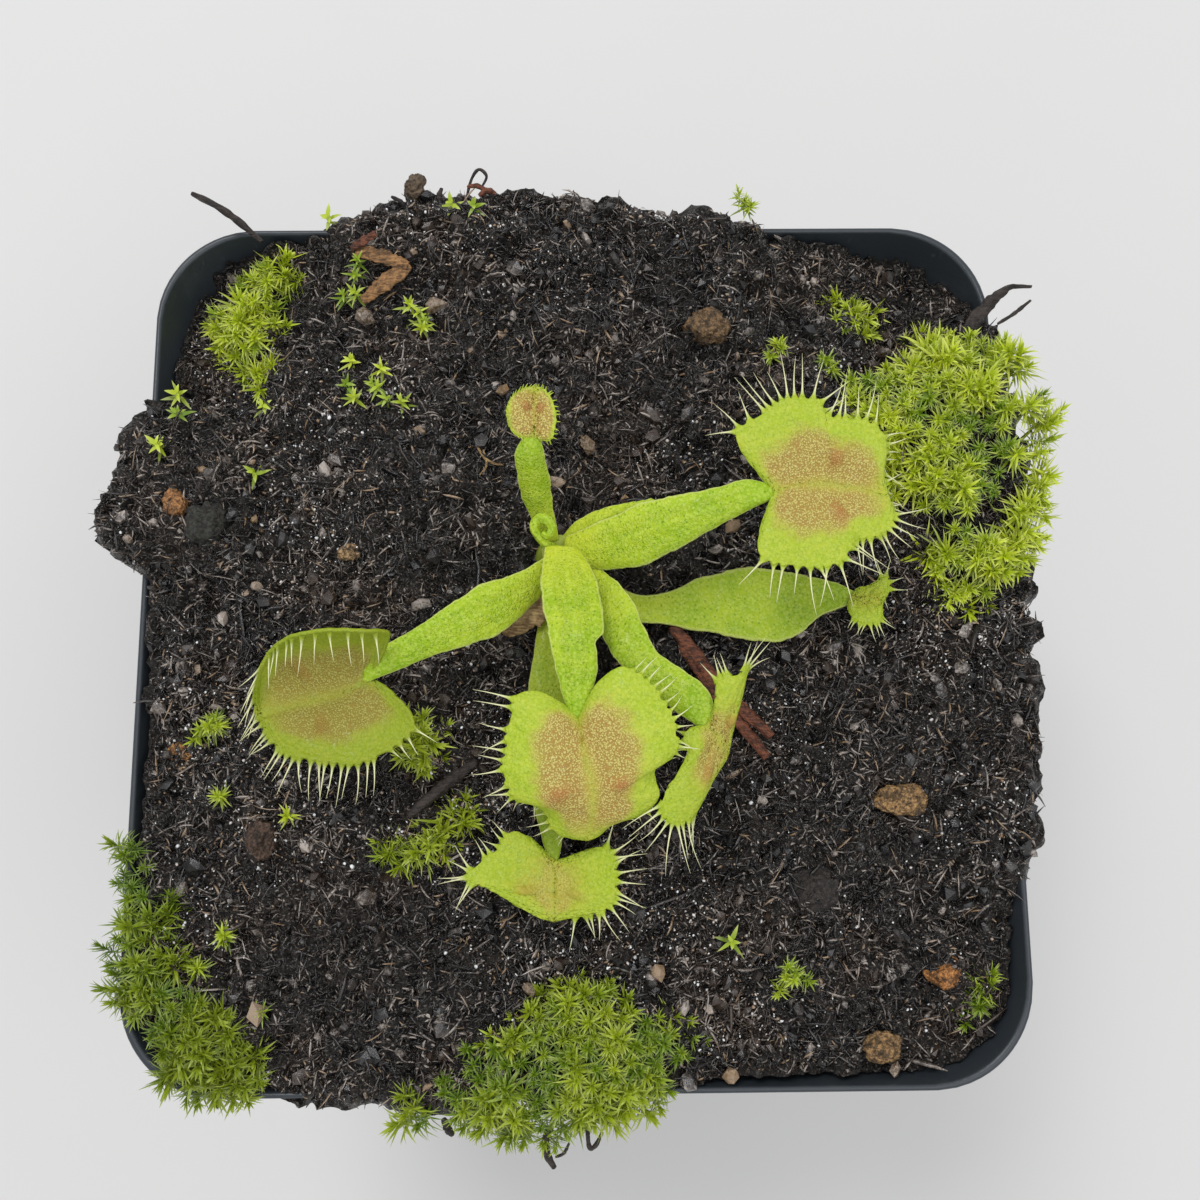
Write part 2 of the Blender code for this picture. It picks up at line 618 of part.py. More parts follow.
def build_all():
    pot = build_pot()
    soil = build_soil()
    soil_room = make_cutter(soil.data, "soil_room", GAP + 0.3)
    pot_room = make_cutter(pot.data, "pot_room", GAP + 0.2)
    build_crown(soil)
    for name, leaf in LEAVES.items():
        build_leaf(name, **leaf)
    build_rod("leaf_bud", [
        (-1.9, 7.2, 7.8), (-2.3, 7.8, 8.8), (-2.9, 8.4, 9.6), (-3.9, 8.7, 10.0)], 0.5, LEAF_GREEN, 0.4)
    for name, (thick, outline) in MOSS_CUSHIONS.items():
        build_cushion(name, outline, thick, soil_room, pot_room)
    for number, (x, y, radius) in enumerate(MOSS_TUFTS, 1):
        build_tuft("moss_tuft_%d" % number, x, y, radius, soil_room, pot_room)
    for number, (x, y, half_sizes, colour) in enumerate(STONES, 1):
        build_stone(number, x, y, half_sizes, colour, soil)
    build_strip("dead_leaf", on_soil([(-3.9, 2.6), (-5.6, 1.8), (-7.0, 0.6)], 1.0),
                2.0, 0.5, (0.5, 0.3, 0.12))
    build_strip("bark_strip", on_soil([(9.3, -0.6), (12.8, -5.4), (17.2, -10.3)], 1.3),
                2.2, 0.6, (0.2, 0.06, 0.03))
    build_strip("bark_chip", on_soil([(-20.9, 37.0), (-18.6, 34.6), (-15.4, 31.6)], 1.2),
                1.8, 0.6, (0.3, 0.12, 0.04))
    build_rod("twig_corner",
              [(-36.4, 42.6, 2.2), (-34.0, 41.2, 2.6), (-32.1, 40.0, 1.9), (-29.9, 38.2, 1.0)],
              0.45, TWIG_BROWN)
    build_rod("twig_middle", on_soil([(-14.2, -15.9), (-11.8, -13.9), (-8.8, -11.7)], 1.3),
              0.6, TWIG_BROWN)
    build_strip("leaf_scrap", [(37.2, 30.6, 0.4), (40.2, 31.9, 0.8), (43.0, 32.3, 2.0)],
                1.4, 0.4, TWIG_BROWN)


build_all()
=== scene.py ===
# A venus flytrap in a square nursery pot: the finish and fine shape of every piece.
# Lengths are written in millimetres and heights count from the pot's rim, as a grower
# would measure them; the meshes are handed over in metres from the pot's underside.
import math

import bpy
import numpy as np
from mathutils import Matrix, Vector


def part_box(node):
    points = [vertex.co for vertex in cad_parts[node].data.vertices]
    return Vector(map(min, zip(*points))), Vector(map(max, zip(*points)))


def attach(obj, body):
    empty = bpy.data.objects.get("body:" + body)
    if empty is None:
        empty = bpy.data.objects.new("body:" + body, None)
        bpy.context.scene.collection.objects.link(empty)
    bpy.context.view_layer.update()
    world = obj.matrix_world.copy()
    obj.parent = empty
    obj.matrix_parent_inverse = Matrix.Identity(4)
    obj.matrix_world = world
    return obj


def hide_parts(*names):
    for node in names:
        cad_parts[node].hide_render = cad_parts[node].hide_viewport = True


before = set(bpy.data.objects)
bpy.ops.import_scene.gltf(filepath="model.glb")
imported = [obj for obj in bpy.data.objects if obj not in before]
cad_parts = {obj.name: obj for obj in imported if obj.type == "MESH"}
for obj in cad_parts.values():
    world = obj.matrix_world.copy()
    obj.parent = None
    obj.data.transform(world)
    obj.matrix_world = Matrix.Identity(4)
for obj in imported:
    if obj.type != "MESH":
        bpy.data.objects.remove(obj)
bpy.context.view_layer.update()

scene = bpy.context.scene

# ------------------------------------------------------------------ pot
# The pot is a thin tub of dark recycled plastic, pressed in one go: tapered walls, a wider
# band at the rim, rounded corners and drainage holes in a flat floor. Handling and wet soil
# have left it satin, a little dusty and scuffed along the rim.

MM = 0.001
RIM_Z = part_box("pot")[1][2] / MM
RIM_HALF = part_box("pot")[1][0] / MM
BASE_HALF = 29.0
CORNER_SHARE = 0.23
WALL = 1.0
RIM_BAND = 9.0


class Wire:
    """A shader socket that can be added to, multiplied and so on like a number."""

    def __init__(self, finish, socket):
        self.finish, self.socket = finish, socket

    def sum_with(self, operation, other, flipped=False):
        pair = [other, self] if flipped else [self, other]
        return self.finish.node("ShaderNodeMath", {"operation": operation}, dict(enumerate(pair)))

    def __add__(self, other):
        return self.sum_with("ADD", other)

    def __sub__(self, other):
        return self.sum_with("SUBTRACT", other)

    def __rsub__(self, other):
        return self.sum_with("SUBTRACT", other, flipped=True)

    def __mul__(self, other):
        return self.sum_with("MULTIPLY", other)

    __radd__, __rmul__ = __add__, __mul__

    def ramp(self, low, high):
        """This value stretched smoothly so that low gives 0 and high gives 1."""
        return self.finish.node("ShaderNodeMapRange", {"interpolation_type": "SMOOTHSTEP"},
                                {"Value": self, "From Min": low, "From Max": high})


class Finish:
    """A Principled material whose other nodes come from one method."""

    def __init__(self, name, **constants):
        self.material = bpy.data.materials.new(name)
        self.material.use_nodes = True
        self.tree = self.material.node_tree
        self.shader = self.tree.nodes["Principled BSDF"]
        for socket, value in constants.items():
            self.shader.inputs[socket.replace("_", " ")].default_value = value
        self.places = self.node("ShaderNodeTexCoord", output="Object")

    def node(self, kind, settings=None, sockets=None, output=0):
        """Adds a node: its settings first, then a value or a link for each named socket."""
        made = self.tree.nodes.new(kind)
        for key, value in (settings or {}).items():
            setattr(made, key, value)
        for key, value in (sockets or {}).items():
            if isinstance(value, Wire):
                self.tree.links.new(value.socket, made.inputs[key])
            else:
                made.inputs[key].default_value = value
        return Wire(self, made.outputs[output])

    def noise(self, size, detail=3.0, rough=0.55, places=None):
        """Cloudy noise whose blotches are about size millimetres across."""
        return self.node("ShaderNodeTexNoise", None, {
            "Vector": places or self.places, "Scale": 1.0 / (size * MM), "Detail": detail,
            "Roughness": rough})

    def cells(self, size):
        """Distance to the nearest of scattered points about size millimetres apart."""
        return self.node("ShaderNodeTexVoronoi", None, {
            "Vector": self.places, "Scale": 1.0 / (size * MM)}, "Distance")

    def mark(self, name):
        """A value stored on the mesh's points."""
        return self.node("ShaderNodeAttribute", {"attribute_name": name}, output="Fac")

    def blend(self, share, first, second):
        """Mixes two colours, given as wires or as three numbers."""
        first, second = [c if isinstance(c, Wire) else (*c, 1.0) for c in (first, second)]
        return self.node("ShaderNodeMix", {"data_type": "RGBA"}, {0: share, 6: first, 7: second}, 2)

    def finish(self, **varying):
        """Links what varies over the surface; bump is (height, strength, depth in millimetres)."""
        bump = varying.pop("bump", None)
        if bump:
            height, strength, depth = bump
            varying["Normal"] = self.node("ShaderNodeBump", None, {
                "Height": height, "Strength": strength, "Distance": depth * MM})
        for socket, wire in varying.items():
            self.tree.links.new(wire.socket, self.shader.inputs[socket.replace("_", " ")])
        return self.material


def make_piece(name, points, faces, material, nodes, slot, smooth=True, **marks):
    """A mesh piece from points in millimetres, standing for the given nodes of the model."""
    mesh = bpy.data.meshes.new(name)
    places = (np.asarray(points, float) + (0.0, 0.0, RIM_Z)) * MM
    lists = [np.asarray(block).tolist() for block in (faces if isinstance(faces, list) else [faces])]
    mesh.from_pydata(places.tolist(), [], [face for block in lists for face in block])
    for mark, values in marks.items():
        layer = mesh.attributes.new(mark, "FLOAT", "POINT")
        layer.data.foreach_set("value", np.asarray(values, np.float32).ravel())
    mesh.materials.append(material)
    mesh.polygons.foreach_set("use_smooth", [smooth] * len(mesh.polygons))
    piece = bpy.data.objects.new(name, mesh)
    scene.collection.objects.link(piece)
    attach(piece, "root")
    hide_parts(*nodes)
    return piece


def grid_faces(rows, columns, around=False):
    """Four-sided faces of a grid of points; around joins the last column to the first."""
    low = np.arange(rows - 1)[:, None] * columns
    here = np.arange(columns if around else columns - 1)[None, :]
    beside = (here + 1) % columns
    return np.stack([low + here, low + beside, low + columns + beside, low + columns + here],
                    -1).reshape(-1, 4)


def end_caps(rows, columns):
    """The first and the last row of a grid joined round, each as one flat face."""
    ring = np.arange(columns)
    return [ring[::-1][None], (ring + (rows - 1) * columns)[None]]

def edge_reach(angle, half):
    """From the centre to a rounded square: half / cos on a side, or out to the corner's circle."""
    corner = CORNER_SHARE * half
    folded = np.mod(angle, math.pi / 2)
    folded = np.minimum(folded, math.pi / 2 - folded)
    along = (half - corner) * (np.cos(folded) + np.sin(folded))
    across = (half - corner) * (np.cos(folded) - np.sin(folded))
    corner_reach = along + np.sqrt(np.maximum(corner ** 2 - across ** 2, 0.0))
    on_side = half * np.tan(folded) <= half - corner
    return np.where(on_side, half / np.cos(folded), corner_reach)


def corner_angles(count):
    """Angles round the pot, crowded towards the corners: a quarter turn plus a sine of four turns."""
    turn = np.arange(count) * 2 * math.pi / count
    return turn - 0.2 * np.sin(4 * turn + math.pi)


def pot_surface(profile, count):
    """Every profile point (half width, height) carried once round a rounded square."""
    angles = corner_angles(count)
    half, height = np.array(profile).T
    reach = edge_reach(angles[None, :], half[:, None])
    return np.stack([reach * np.cos(angles), reach * np.sin(angles),
                     np.repeat(height[:, None], count, 1)], -1)


def wall_half(z):
    """Half width of the outside below the band: straight from the base to the band's step."""
    return BASE_HALF + (z + RIM_Z) / (RIM_Z - RIM_BAND) * (RIM_HALF - 1.4 - BASE_HALF)


pot_foot, pot_floor, lip = -RIM_Z, 1.2 - RIM_Z, 0.28
pot_profile = [(0.4, pot_foot), (BASE_HALF - 1.2, pot_foot), (BASE_HALF - 0.5, pot_foot + 0.2),
               (BASE_HALF, pot_foot + 1.0)]
pot_profile += [(wall_half(z), z) for z in (-55.0, -40.0, -25.0, -12.0, -RIM_BAND - 0.7)]
pot_profile += [(RIM_HALF - 0.9, -RIM_BAND - 0.3), (RIM_HALF - 0.45, -RIM_BAND), (RIM_HALF - 0.35, -7.0),
                (RIM_HALF - 0.02, -1.0)]
pot_profile += [(RIM_HALF - lip + lip * math.cos(turn), lip * math.sin(turn) - lip)
                for turn in np.linspace(0.0, math.pi, 9)]
pot_profile += [(RIM_HALF - 0.62, -0.6), (RIM_HALF - 0.7 - WALL, -RIM_BAND), (wall_half(-11.0) - WALL, -11.0),
                (BASE_HALF - WALL, pot_floor + 1.0), (BASE_HALF - 2.0, pot_floor), (0.4, pot_floor)]
pot_columns = 160
pot_points = pot_surface(pot_profile, pot_columns).reshape(-1, 3)
pot_rows = len(pot_profile)

plastic = Finish("dark_pot_plastic", IOR=1.46)
dust = plastic.noise(7.0, 5.0, 0.7).ramp(0.5, 0.8)
grain = plastic.noise(0.5, 3.0, 0.6)
scuff = plastic.noise(0.9, 6.0, 0.8, plastic.node("ShaderNodeMapping", None, {
    "Vector": plastic.places, "Scale": (1.0, 1.0, 0.25)})).ramp(0.62, 0.7)
plastic_colour = plastic.blend(dust * 0.35, (0.034, 0.042, 0.050), (0.080, 0.083, 0.083))
plastic_colour = plastic.blend(scuff * 0.5, plastic_colour, (0.13, 0.135, 0.14))
plastic_material = plastic.finish(
    Base_Color=plastic_colour, Roughness=0.36 + dust * 0.25 + scuff * 0.2,
    bump=(grain + plastic.noise(6.0, 2.0) * 2.0, 0.25, 0.15))
pot = make_piece("pot_shell", pot_points,
                 [grid_faces(pot_rows, pot_columns, True)] + end_caps(pot_rows, pot_columns),
                 plastic_material, ["pot"], "pot_plastic")

drill = bpy.data.meshes.new("pot_holes")
hole_sides = 32
hole_turn = np.linspace(0.0, 2 * math.pi, hole_sides, endpoint=False)
hole_points, hole_faces = [], []
for quarter in range(4):
    for reach, turn, radius in ((26.5, math.pi / 4, 4.0), (19.5, 0.0, 3.2)):
        way = turn + quarter * math.pi / 2
        ring = reach * np.array([math.cos(way), math.sin(way)]) + radius * np.stack(
            [np.cos(hole_turn), np.sin(hole_turn)], -1)
        first = len(hole_points) * 2 * hole_sides
        hole_points.append(np.concatenate([np.c_[ring, np.full(hole_sides, z)] for z in (-1.0, 3.0)]))
        for block in [grid_faces(2, hole_sides, True)] + end_caps(2, hole_sides):
            hole_faces += (first + block).tolist()
drill.from_pydata((np.concatenate(hole_points) * MM).tolist(), [], hole_faces)
drill_object = bpy.data.objects.new("pot_holes", drill)
scene.collection.objects.link(drill_object)
holes = pot.modifiers.new("drainage_holes", "BOOLEAN")
holes.operation, holes.solver, holes.object = "DIFFERENCE", "EXACT", drill_object
drilled = bpy.data.meshes.new_from_object(pot.evaluated_get(bpy.context.evaluated_depsgraph_get()))
pot.modifiers.clear()
pot.data = drilled
bpy.data.objects.remove(drill_object)

# ------------------------------------------------------------------ soil
# The root ball is moist dark peat: felted fibres, crumbs and dust, wet enough to glint. It
# follows the inside of the pot, mounds up in the middle, sinks at the corners and spills over
# the rim where the pot was filled high. Crumbs and loose fibres lie all over it, and clusters
# of near-white grains are painted glints of the wet surface.

# Going round from the right: angle in degrees, level above the rim, and reach past the rim's
# outside (below -1 it stays inside the wall).
SOIL_EDGE = np.array([
    (0, 2.0, 2.2), (18, 2.8, 2.4), (30, 2.2, 1.6), (36, 1.0, 0.4), (40, -2.5, -1.4),
    (45, -4.5, -1.4), (52, -4.0, -1.4), (60, -1.5, -1.4), (66, 1.5, 0.6), (80, 2.4, 2.0),
    (90, 2.8, 2.6), (102, 3.4, 2.8), (112, 3.0, 2.6), (120, 1.5, 0.6), (126, -1.0, -1.4),
    (132, -4.0, -1.4), (140, -5.0, -1.4), (147, -3.0, -1.4), (151, 0.5, 0.0),
    (155, 1.5, 3.0), (160, 2.0, 3.1), (165, 2.2, 5.0), (168.5, 2.2, 4.5), (170.5, 1.8, 2.2),
    (172, 0.8, -0.3), (177, 0.6, -0.6), (183, 0.5, -0.7), (195, -0.8, -1.4),
    (210, 0.0, -1.4), (225, -1.2, -1.4), (240, 0.9, 0.8),
    (250, 1.0, 1.2), (265, 1.0, 0.8), (280, 0.8, 0.3), (290, -0.4, -1.4),
    (305, -1.5, -1.4), (315, -3.0, -1.4), (325, -1.8, -1.4), (332, 0.8, 0.8),
    (342, 1.8, 2.0), (352, 2.0, 2.4), (360, 2.0, 2.2)])
SOIL_CENTRE = 3.2
CROWN = np.array([-1.5, 6.6])
chance = np.random.default_rng(11)
noise_table = np.random.default_rng(5).random((64, 64, 64))


def rough(x, y, z=0.0):
    """Value noise from -1 to 1: chance numbers at whole places, blended by smooth steps between."""
    x, y, z = np.broadcast_arrays(x, y, z)
    whole = [np.floor(v).astype(int) for v in (x, y, z)]
    share = [v - w for v, w in zip((x, y, z), whole)]
    share = [s * s * (3 - 2 * s) for s in share]
    total = 0.0
    for corner in range(8):
        step = [corner & 1, corner >> 1 & 1, corner >> 2 & 1]
        weight = 1.0
        for s, bit in zip(share, step):
            weight = weight * (s if bit else 1 - s)
        total = total + weight * noise_table[tuple((w + bit) % 64 for w, bit in zip(whole, step))]
    return 2 * total - 1


def soil_level(angle):
    """Level of the soil at its edge, straight between the listed angles."""
    return np.interp(np.degrees(angle) % 360, SOIL_EDGE[:, 0], SOIL_EDGE[:, 1])


def soil_height(x, y):
    """Low mound that blends into the edge's level, plus lumps of about six and two millimetres."""
    angle = np.arctan2(y, x)
    share = np.hypot(x, y) / edge_reach(angle, RIM_HALF - WALL)
    blend = np.clip((share - 0.45) / 0.5, 0, 1)
    blend = blend * blend * (3 - 2 * blend)
    lumps = 0.75 * rough(x * 0.16, y * 0.16, 0.7) + 0.35 * rough(x * 0.4, y * 0.4, 4.2)
    calm = np.minimum(np.hypot(x - CROWN[0], y - CROWN[1]) / 9.0, 1.0)
    return SOIL_CENTRE * (1 - blend) + soil_level(angle) * blend + lumps * calm


def crumble(x, y):
    """Fine relief of the peat: folded noise at three sizes, sharp on top and soft below."""
    coarse = 0.85 * (0.6 - 2 * np.abs(rough(x * 0.42, y * 0.42, 9.0)))
    middle = 0.65 * (0.7 - 2 * np.abs(rough(x * 1.0, y * 1.0, 3.0)))
    return coarse + middle + 0.32 * rough(x * 2.6, y * 2.6, 6.0)


def soil_points(share, reach, angle, past):
    """Places a share of the way to the soil's edge: mound plus relief, dropping off at the end."""
    x, y = share * reach * np.cos(angle), share * reach * np.sin(angle)
    fall = np.clip((share - 0.955) / 0.045, 0, 1) ** 2 * np.clip(past + 1.4, 0, 1.6) * 0.9
    return np.stack([x, y, soil_height(x, y) + crumble(x, y) - fall], -1)

def soil_surface(steps):
    """A square grid pushed out to the soil's ragged edge; its height is mound plus relief."""
    u, v = np.meshgrid(np.linspace(-1, 1, steps), np.linspace(-1, 1, steps))
    u, v = np.sin(u * 1.35) / math.sin(1.35), np.sin(v * 1.35) / math.sin(1.35)
    angle = np.arctan2(v, u)
    share = np.maximum(np.abs(u), np.abs(v))
    past = np.interp(np.degrees(angle) % 360, SOIL_EDGE[:, 0], SOIL_EDGE[:, 2])
    ragged = 0.7 * rough(np.cos(angle) * 22, np.sin(angle) * 22, 2.0) + 0.35 * rough(
        np.cos(angle) * 55, np.sin(angle) * 55, 8.0)
    outer = edge_reach(angle, RIM_HALF) + past + ragged * np.clip(past + 1.4, 0, 1)
    return soil_points(share, outer, angle, past), past


soil_steps = 276
soil_top, soil_past = soil_surface(soil_steps)
border = np.concatenate([
    np.arange(soil_steps - 1), np.arange(1, soil_steps) * soil_steps - 1,
    soil_steps ** 2 - 1 - np.arange(soil_steps - 1),
    (soil_steps - 1 - np.arange(soil_steps - 1)) * soil_steps])
soil_flat = soil_top.reshape(-1, 3)
edge = soil_flat[border]
edge_angle = np.arctan2(edge[:, 1], edge[:, 0])
hang = np.clip(soil_past.ravel()[border] + 1.4, 0, 1)
inner = edge_reach(edge_angle, RIM_HALF - WALL - 0.35)
tuck = np.minimum(np.hypot(edge[:, 0], edge[:, 1]), inner)
skirt = []
for depth, keep in ((0.6, 0.97), (1.2, 0.9)):
    reach = np.hypot(edge[:, 0], edge[:, 1]) * keep * hang + tuck * (1 - hang)
    low = np.where(hang > 0.3, np.minimum(edge[:, 2] - 0.3, 0.45 - 0.1 * depth), edge[:, 2] - depth)
    skirt.append((reach, low))
skirt.append((inner - 0.1, np.minimum(skirt[-1][1], 0.2)))
for depth in (8.0, 30.0, 60.0):
    skirt.append((edge_reach(edge_angle, wall_half(-depth) - WALL - 0.6), np.full(len(edge), -depth)))
skirt.append((edge_reach(edge_angle, BASE_HALF - WALL - 0.8), np.full(len(edge), pot_floor + 0.4)))
skirt_points = np.concatenate([np.stack([r * np.cos(edge_angle), r * np.sin(edge_angle), z], -1)
                               for r, z in skirt])
skirt_faces = grid_faces(len(skirt) + 1, len(border), True)
skirt_index = np.concatenate([border, soil_steps ** 2 + np.arange(len(skirt_points))])
soil_faces = [grid_faces(soil_steps, soil_steps), skirt_index[skirt_faces][:, ::-1],
              skirt_index[-len(border):][None, :]]

peat = Finish("moist_peat", Specular_IOR_Level=0.6)
felt = peat.noise(0.35, 6.0, 0.75)
clods = peat.noise(5.0, 4.0, 0.6)
brown = peat.blend(clods.ramp(0.35, 0.7), (0.005, 0.004, 0.004), (0.022, 0.016, 0.012))
brown = peat.blend(felt.ramp(0.48, 0.66) * 0.8, brown, (0.12, 0.10, 0.085))
brown = peat.blend(peat.noise(0.24, 2.0).ramp(0.58, 0.68) * 0.8, brown, (0.34, 0.31, 0.28))
peat_material = peat.finish(
    Base_Color=brown, Roughness=0.15 + peat.noise(3.0, 3.0).ramp(0.35, 0.6) * 0.35,
    bump=(felt + peat.cells(0.4) * 0.6, 1.0, 0.6))
make_piece("soil_surface", np.concatenate([soil_flat, skirt_points]), soil_faces, peat_material,
           ["soil"], "soil")


def on_soil(count, spread=1.0):
    """Chance places all over the soil, evenly spread, with the surface height at each."""
    angle = chance.uniform(0, 2 * math.pi, count)
    past = np.interp(np.degrees(angle), SOIL_EDGE[:, 0], SOIL_EDGE[:, 2])
    reach = edge_reach(angle, RIM_HALF) + past - 0.3
    share = np.sqrt(chance.random(count)) * spread
    return soil_points(share, reach, angle, past)


def any_turn(count):
    """Chance rotation matrices: three random directions made square to each other."""
    first, second = chance.normal(size=(2, count, 3))
    first /= np.linalg.norm(first, axis=1)[:, None]
    third = np.cross(first, second)
    third /= np.linalg.norm(third, axis=1)[:, None]
    return np.stack([first, np.cross(third, first), third], -1)


def crumbs(count, smallest, largest, places=None, lift=0.12):
    """Squashed twenty-sided grains, each turned and sized by chance, half bedded in the soil."""
    golden = (1 + math.sqrt(5)) / 2
    base = np.array([(-1, golden, 0), (1, golden, 0), (-1, -golden, 0), (1, -golden, 0),
                     (0, -1, golden), (0, 1, golden), (0, -1, -golden), (0, 1, -golden),
                     (golden, 0, -1), (golden, 0, 1), (-golden, 0, -1), (-golden, 0, 1)]) / 1.9
    sides = np.array([(0, 11, 5), (0, 5, 1), (0, 1, 7), (0, 7, 10), (0, 10, 11), (1, 5, 9),
                      (5, 11, 4), (11, 10, 2), (10, 7, 6), (7, 1, 8), (3, 9, 4), (3, 4, 2),
                      (3, 2, 6), (3, 6, 8), (3, 8, 9), (4, 9, 5), (2, 4, 11), (6, 2, 10),
                      (8, 6, 7), (9, 8, 1)])
    size = smallest * (largest / smallest) ** (chance.random(count) ** 2.2)
    shape = base * chance.uniform(0.6, 1.2, (count, 12, 1)) * chance.uniform(0.5, 1.3, (count, 1, 3))
    shape = np.einsum("nij,nkj->nki", any_turn(count), shape) * size[:, None, None] / 2
    places = on_soil(count) if places is None else np.asarray(places)
    points = shape + places[:, None, :] + (0, 0, 1) * size[:, None, None] * lift
    faces = sides[None] + 12 * np.arange(count)[:, None, None]
    return points.reshape(-1, 3), faces.reshape(-1, 3), np.repeat(chance.random(count), 12)


def fibres(count, shortest, longest, thick, lift, flat):
    """Bent shreds: a short arc in a chance direction, carried as a flat three-sided tube to a point."""
    steps = 4
    along = np.linspace(-0.5, 0.5, steps)
    length = shortest * (longest / shortest) ** (chance.random(count) ** 1.6)
    heading, bend = chance.uniform(0, 2 * math.pi, count), chance.normal(0, 0.5, count)
    rise = chance.normal(0, 0.5, count) / (1 + 0.35 * length)
    way = heading[:, None] + bend[:, None] * along
    step = length[:, None] / steps
    middle = np.stack([np.cumsum(np.cos(way) * step, 1), np.cumsum(np.sin(way) * step, 1),
                       length[:, None] * (rise[:, None] * along + 0.2 * (0.25 - along ** 2))], -1)
    middle -= middle.mean(1, keepdims=True) * (1, 1, 0)
    middle += on_soil(count, 0.99)[:, None, :]
    middle[..., 2] += lift * chance.random((count, 1)) + 0.25 * length[:, None] * np.abs(rise[:, None])
    sideways = np.stack([-np.sin(way), np.cos(way), np.zeros_like(way)], -1)
    wide = thick * chance.uniform(0.4, 1.5, (count, 1)) * (1 - 0.8 * (2 * np.abs(along)) ** 3)
    ring = []
    for turn in (0.0, 2.1, 4.2):
        across = sideways * math.cos(turn) + np.array([0, 0, flat]) * math.sin(turn)
        ring.append(middle + across * wide[..., None])
    points = np.stack(ring, 2)
    faces = grid_faces(steps, 3, True)[None] + 3 * steps * np.arange(count)[:, None, None]
    return points.reshape(-1, 3), faces.reshape(-1, 4), np.repeat(chance.random(count), 3 * steps)


litter = Finish("peat_crumbs_and_fibres", Specular_IOR_Level=0.8)
shade = litter.mark("shade")
clump = litter.noise(4.0, 4.0, 0.65).ramp(0.34, 0.64)
fleck = litter.noise(0.28, 3.0, 0.7).ramp(0.35, 0.65)
light = shade * (0.38 + clump * 0.50 + fleck * 0.38)
litter_colour = litter.blend(light.ramp(0.0, 0.55), (0.004, 0.004, 0.0045), (0.034, 0.029, 0.027))
litter_colour = litter.blend(litter.noise(8.0, 3.0, 0.6).ramp(0.48, 0.62) * 0.5, litter_colour,
                             (0.075, 0.045, 0.028))
litter_colour = litter.blend(light.ramp(0.46, 0.90), litter_colour, (0.37, 0.32, 0.28))
litter_colour = litter.blend(shade.ramp(0.93, 0.97) * 0.6, litter_colour, (0.33, 0.19, 0.07))
# Shade marks above 1.2 belong only to the glint grains, which turn near white: a painted highlight.
litter_colour = litter.blend(shade.ramp(1.2, 1.8), litter_colour, (0.86, 0.87, 0.87))
litter_material = litter.finish(
    Base_Color=litter_colour, Roughness=0.10 + litter.noise(1.2, 2.0).ramp(0.3, 0.7) * 0.3,
    bump=(litter.noise(0.12, 3.0), 0.9, 0.06))
# Painted highlight: near-white grains, lifted above the soil in clusters, stand for the glints of wet peat.
glint_beads = on_soil(16000, 0.98)
wet = 1.5 * rough(glint_beads[:, 0] * 0.12, glint_beads[:, 1] * 0.12, 5.0) + 0.4 * chance.normal(size=len(glint_beads))
glint_beads = glint_beads[wet > 0.45] + (0, 0, 0.3)
points, faces, shade_mark = crumbs(len(glint_beads), 0.15, 0.4, glint_beads)
make_piece("soil_painted_glints", points, faces, litter_material, ["soil"], "soil", shade=1.1 + 0.9 * shade_mark)
points, faces, shade_mark = crumbs(6500, 0.25, 1.7)
make_piece("soil_crumbs", points, faces, litter_material, ["soil"], "soil", smooth=False,
           shade=0.86 * shade_mark ** 1.5 + 0.14 * shade_mark ** 20)
# Larger chips of tan bark and pumice mixed into the peat.
chips = np.array([
    (-28.7, 4.4), (-31.9, 1.7), (-34.0, 15.2), (-29.0, 10.4), (-40.2, 8.6), (-25.6, 14.5), (-19.7, 30.3),
    (-12.9, 30.8), (-6.5, 22.2), (6.9, -29.6), (-4.2, -30.8), (11.3, -32.7), (-36.7, -10.5), (-27.7, -32.7),
    (27.7, -38.4), (13.2, -38.6)])
chips = np.c_[chips, soil_height(*chips.T) + 0.6]
points, faces, shade_mark = crumbs(len(chips), 1.3, 2.3, chips)
make_piece("soil_chips", points, faces, litter_material, ["soil"], "soil", smooth=False,
           shade=0.93 + 0.07 * shade_mark)
for number, (shortest, longest, thick, lift, flat) in enumerate((
        (0.3, 1.2, 0.13, 0.15, 0.6), (0.4, 1.6, 0.10, 0.3, 0.7), (0.6, 2.6, 0.075, 0.4, 1.0),
        (0.7, 3.6, 0.10, 0.35, 0.8), (3.0, 9.0, 0.19, 0.5, 0.8)), 1):
    points, faces, shade_mark = fibres(90 if number == 5 else 10800, shortest, longest, thick, lift, flat)
    make_piece("soil_fibres_%d" % number, points, faces, litter_material, ["soil"], "soil",
               shade=shade_mark * (0.7 if number == 5 else 1.0))

# ------------------------------------------------------------------ crown
# The crown is the short fleshy rootstock that all the leaves spring from; only its pale
# green top shows between the leaf bases. The node keeps its shape and gets living tissue.

tissue = Finish("crown_tissue")
crown_shade = tissue.noise(1.2, 3.0).ramp(0.3, 0.7)
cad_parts["crown"].data.materials.clear()
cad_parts["crown"].data.materials.append(tissue.finish(
    Base_Color=tissue.blend(crown_shade, (0.24, 0.33, 0.02), (0.42, 0.48, 0.06)),
    Roughness=0.4 + crown_shade * 0.15, bump=(tissue.noise(0.4, 3.0), 0.5, 0.1)))
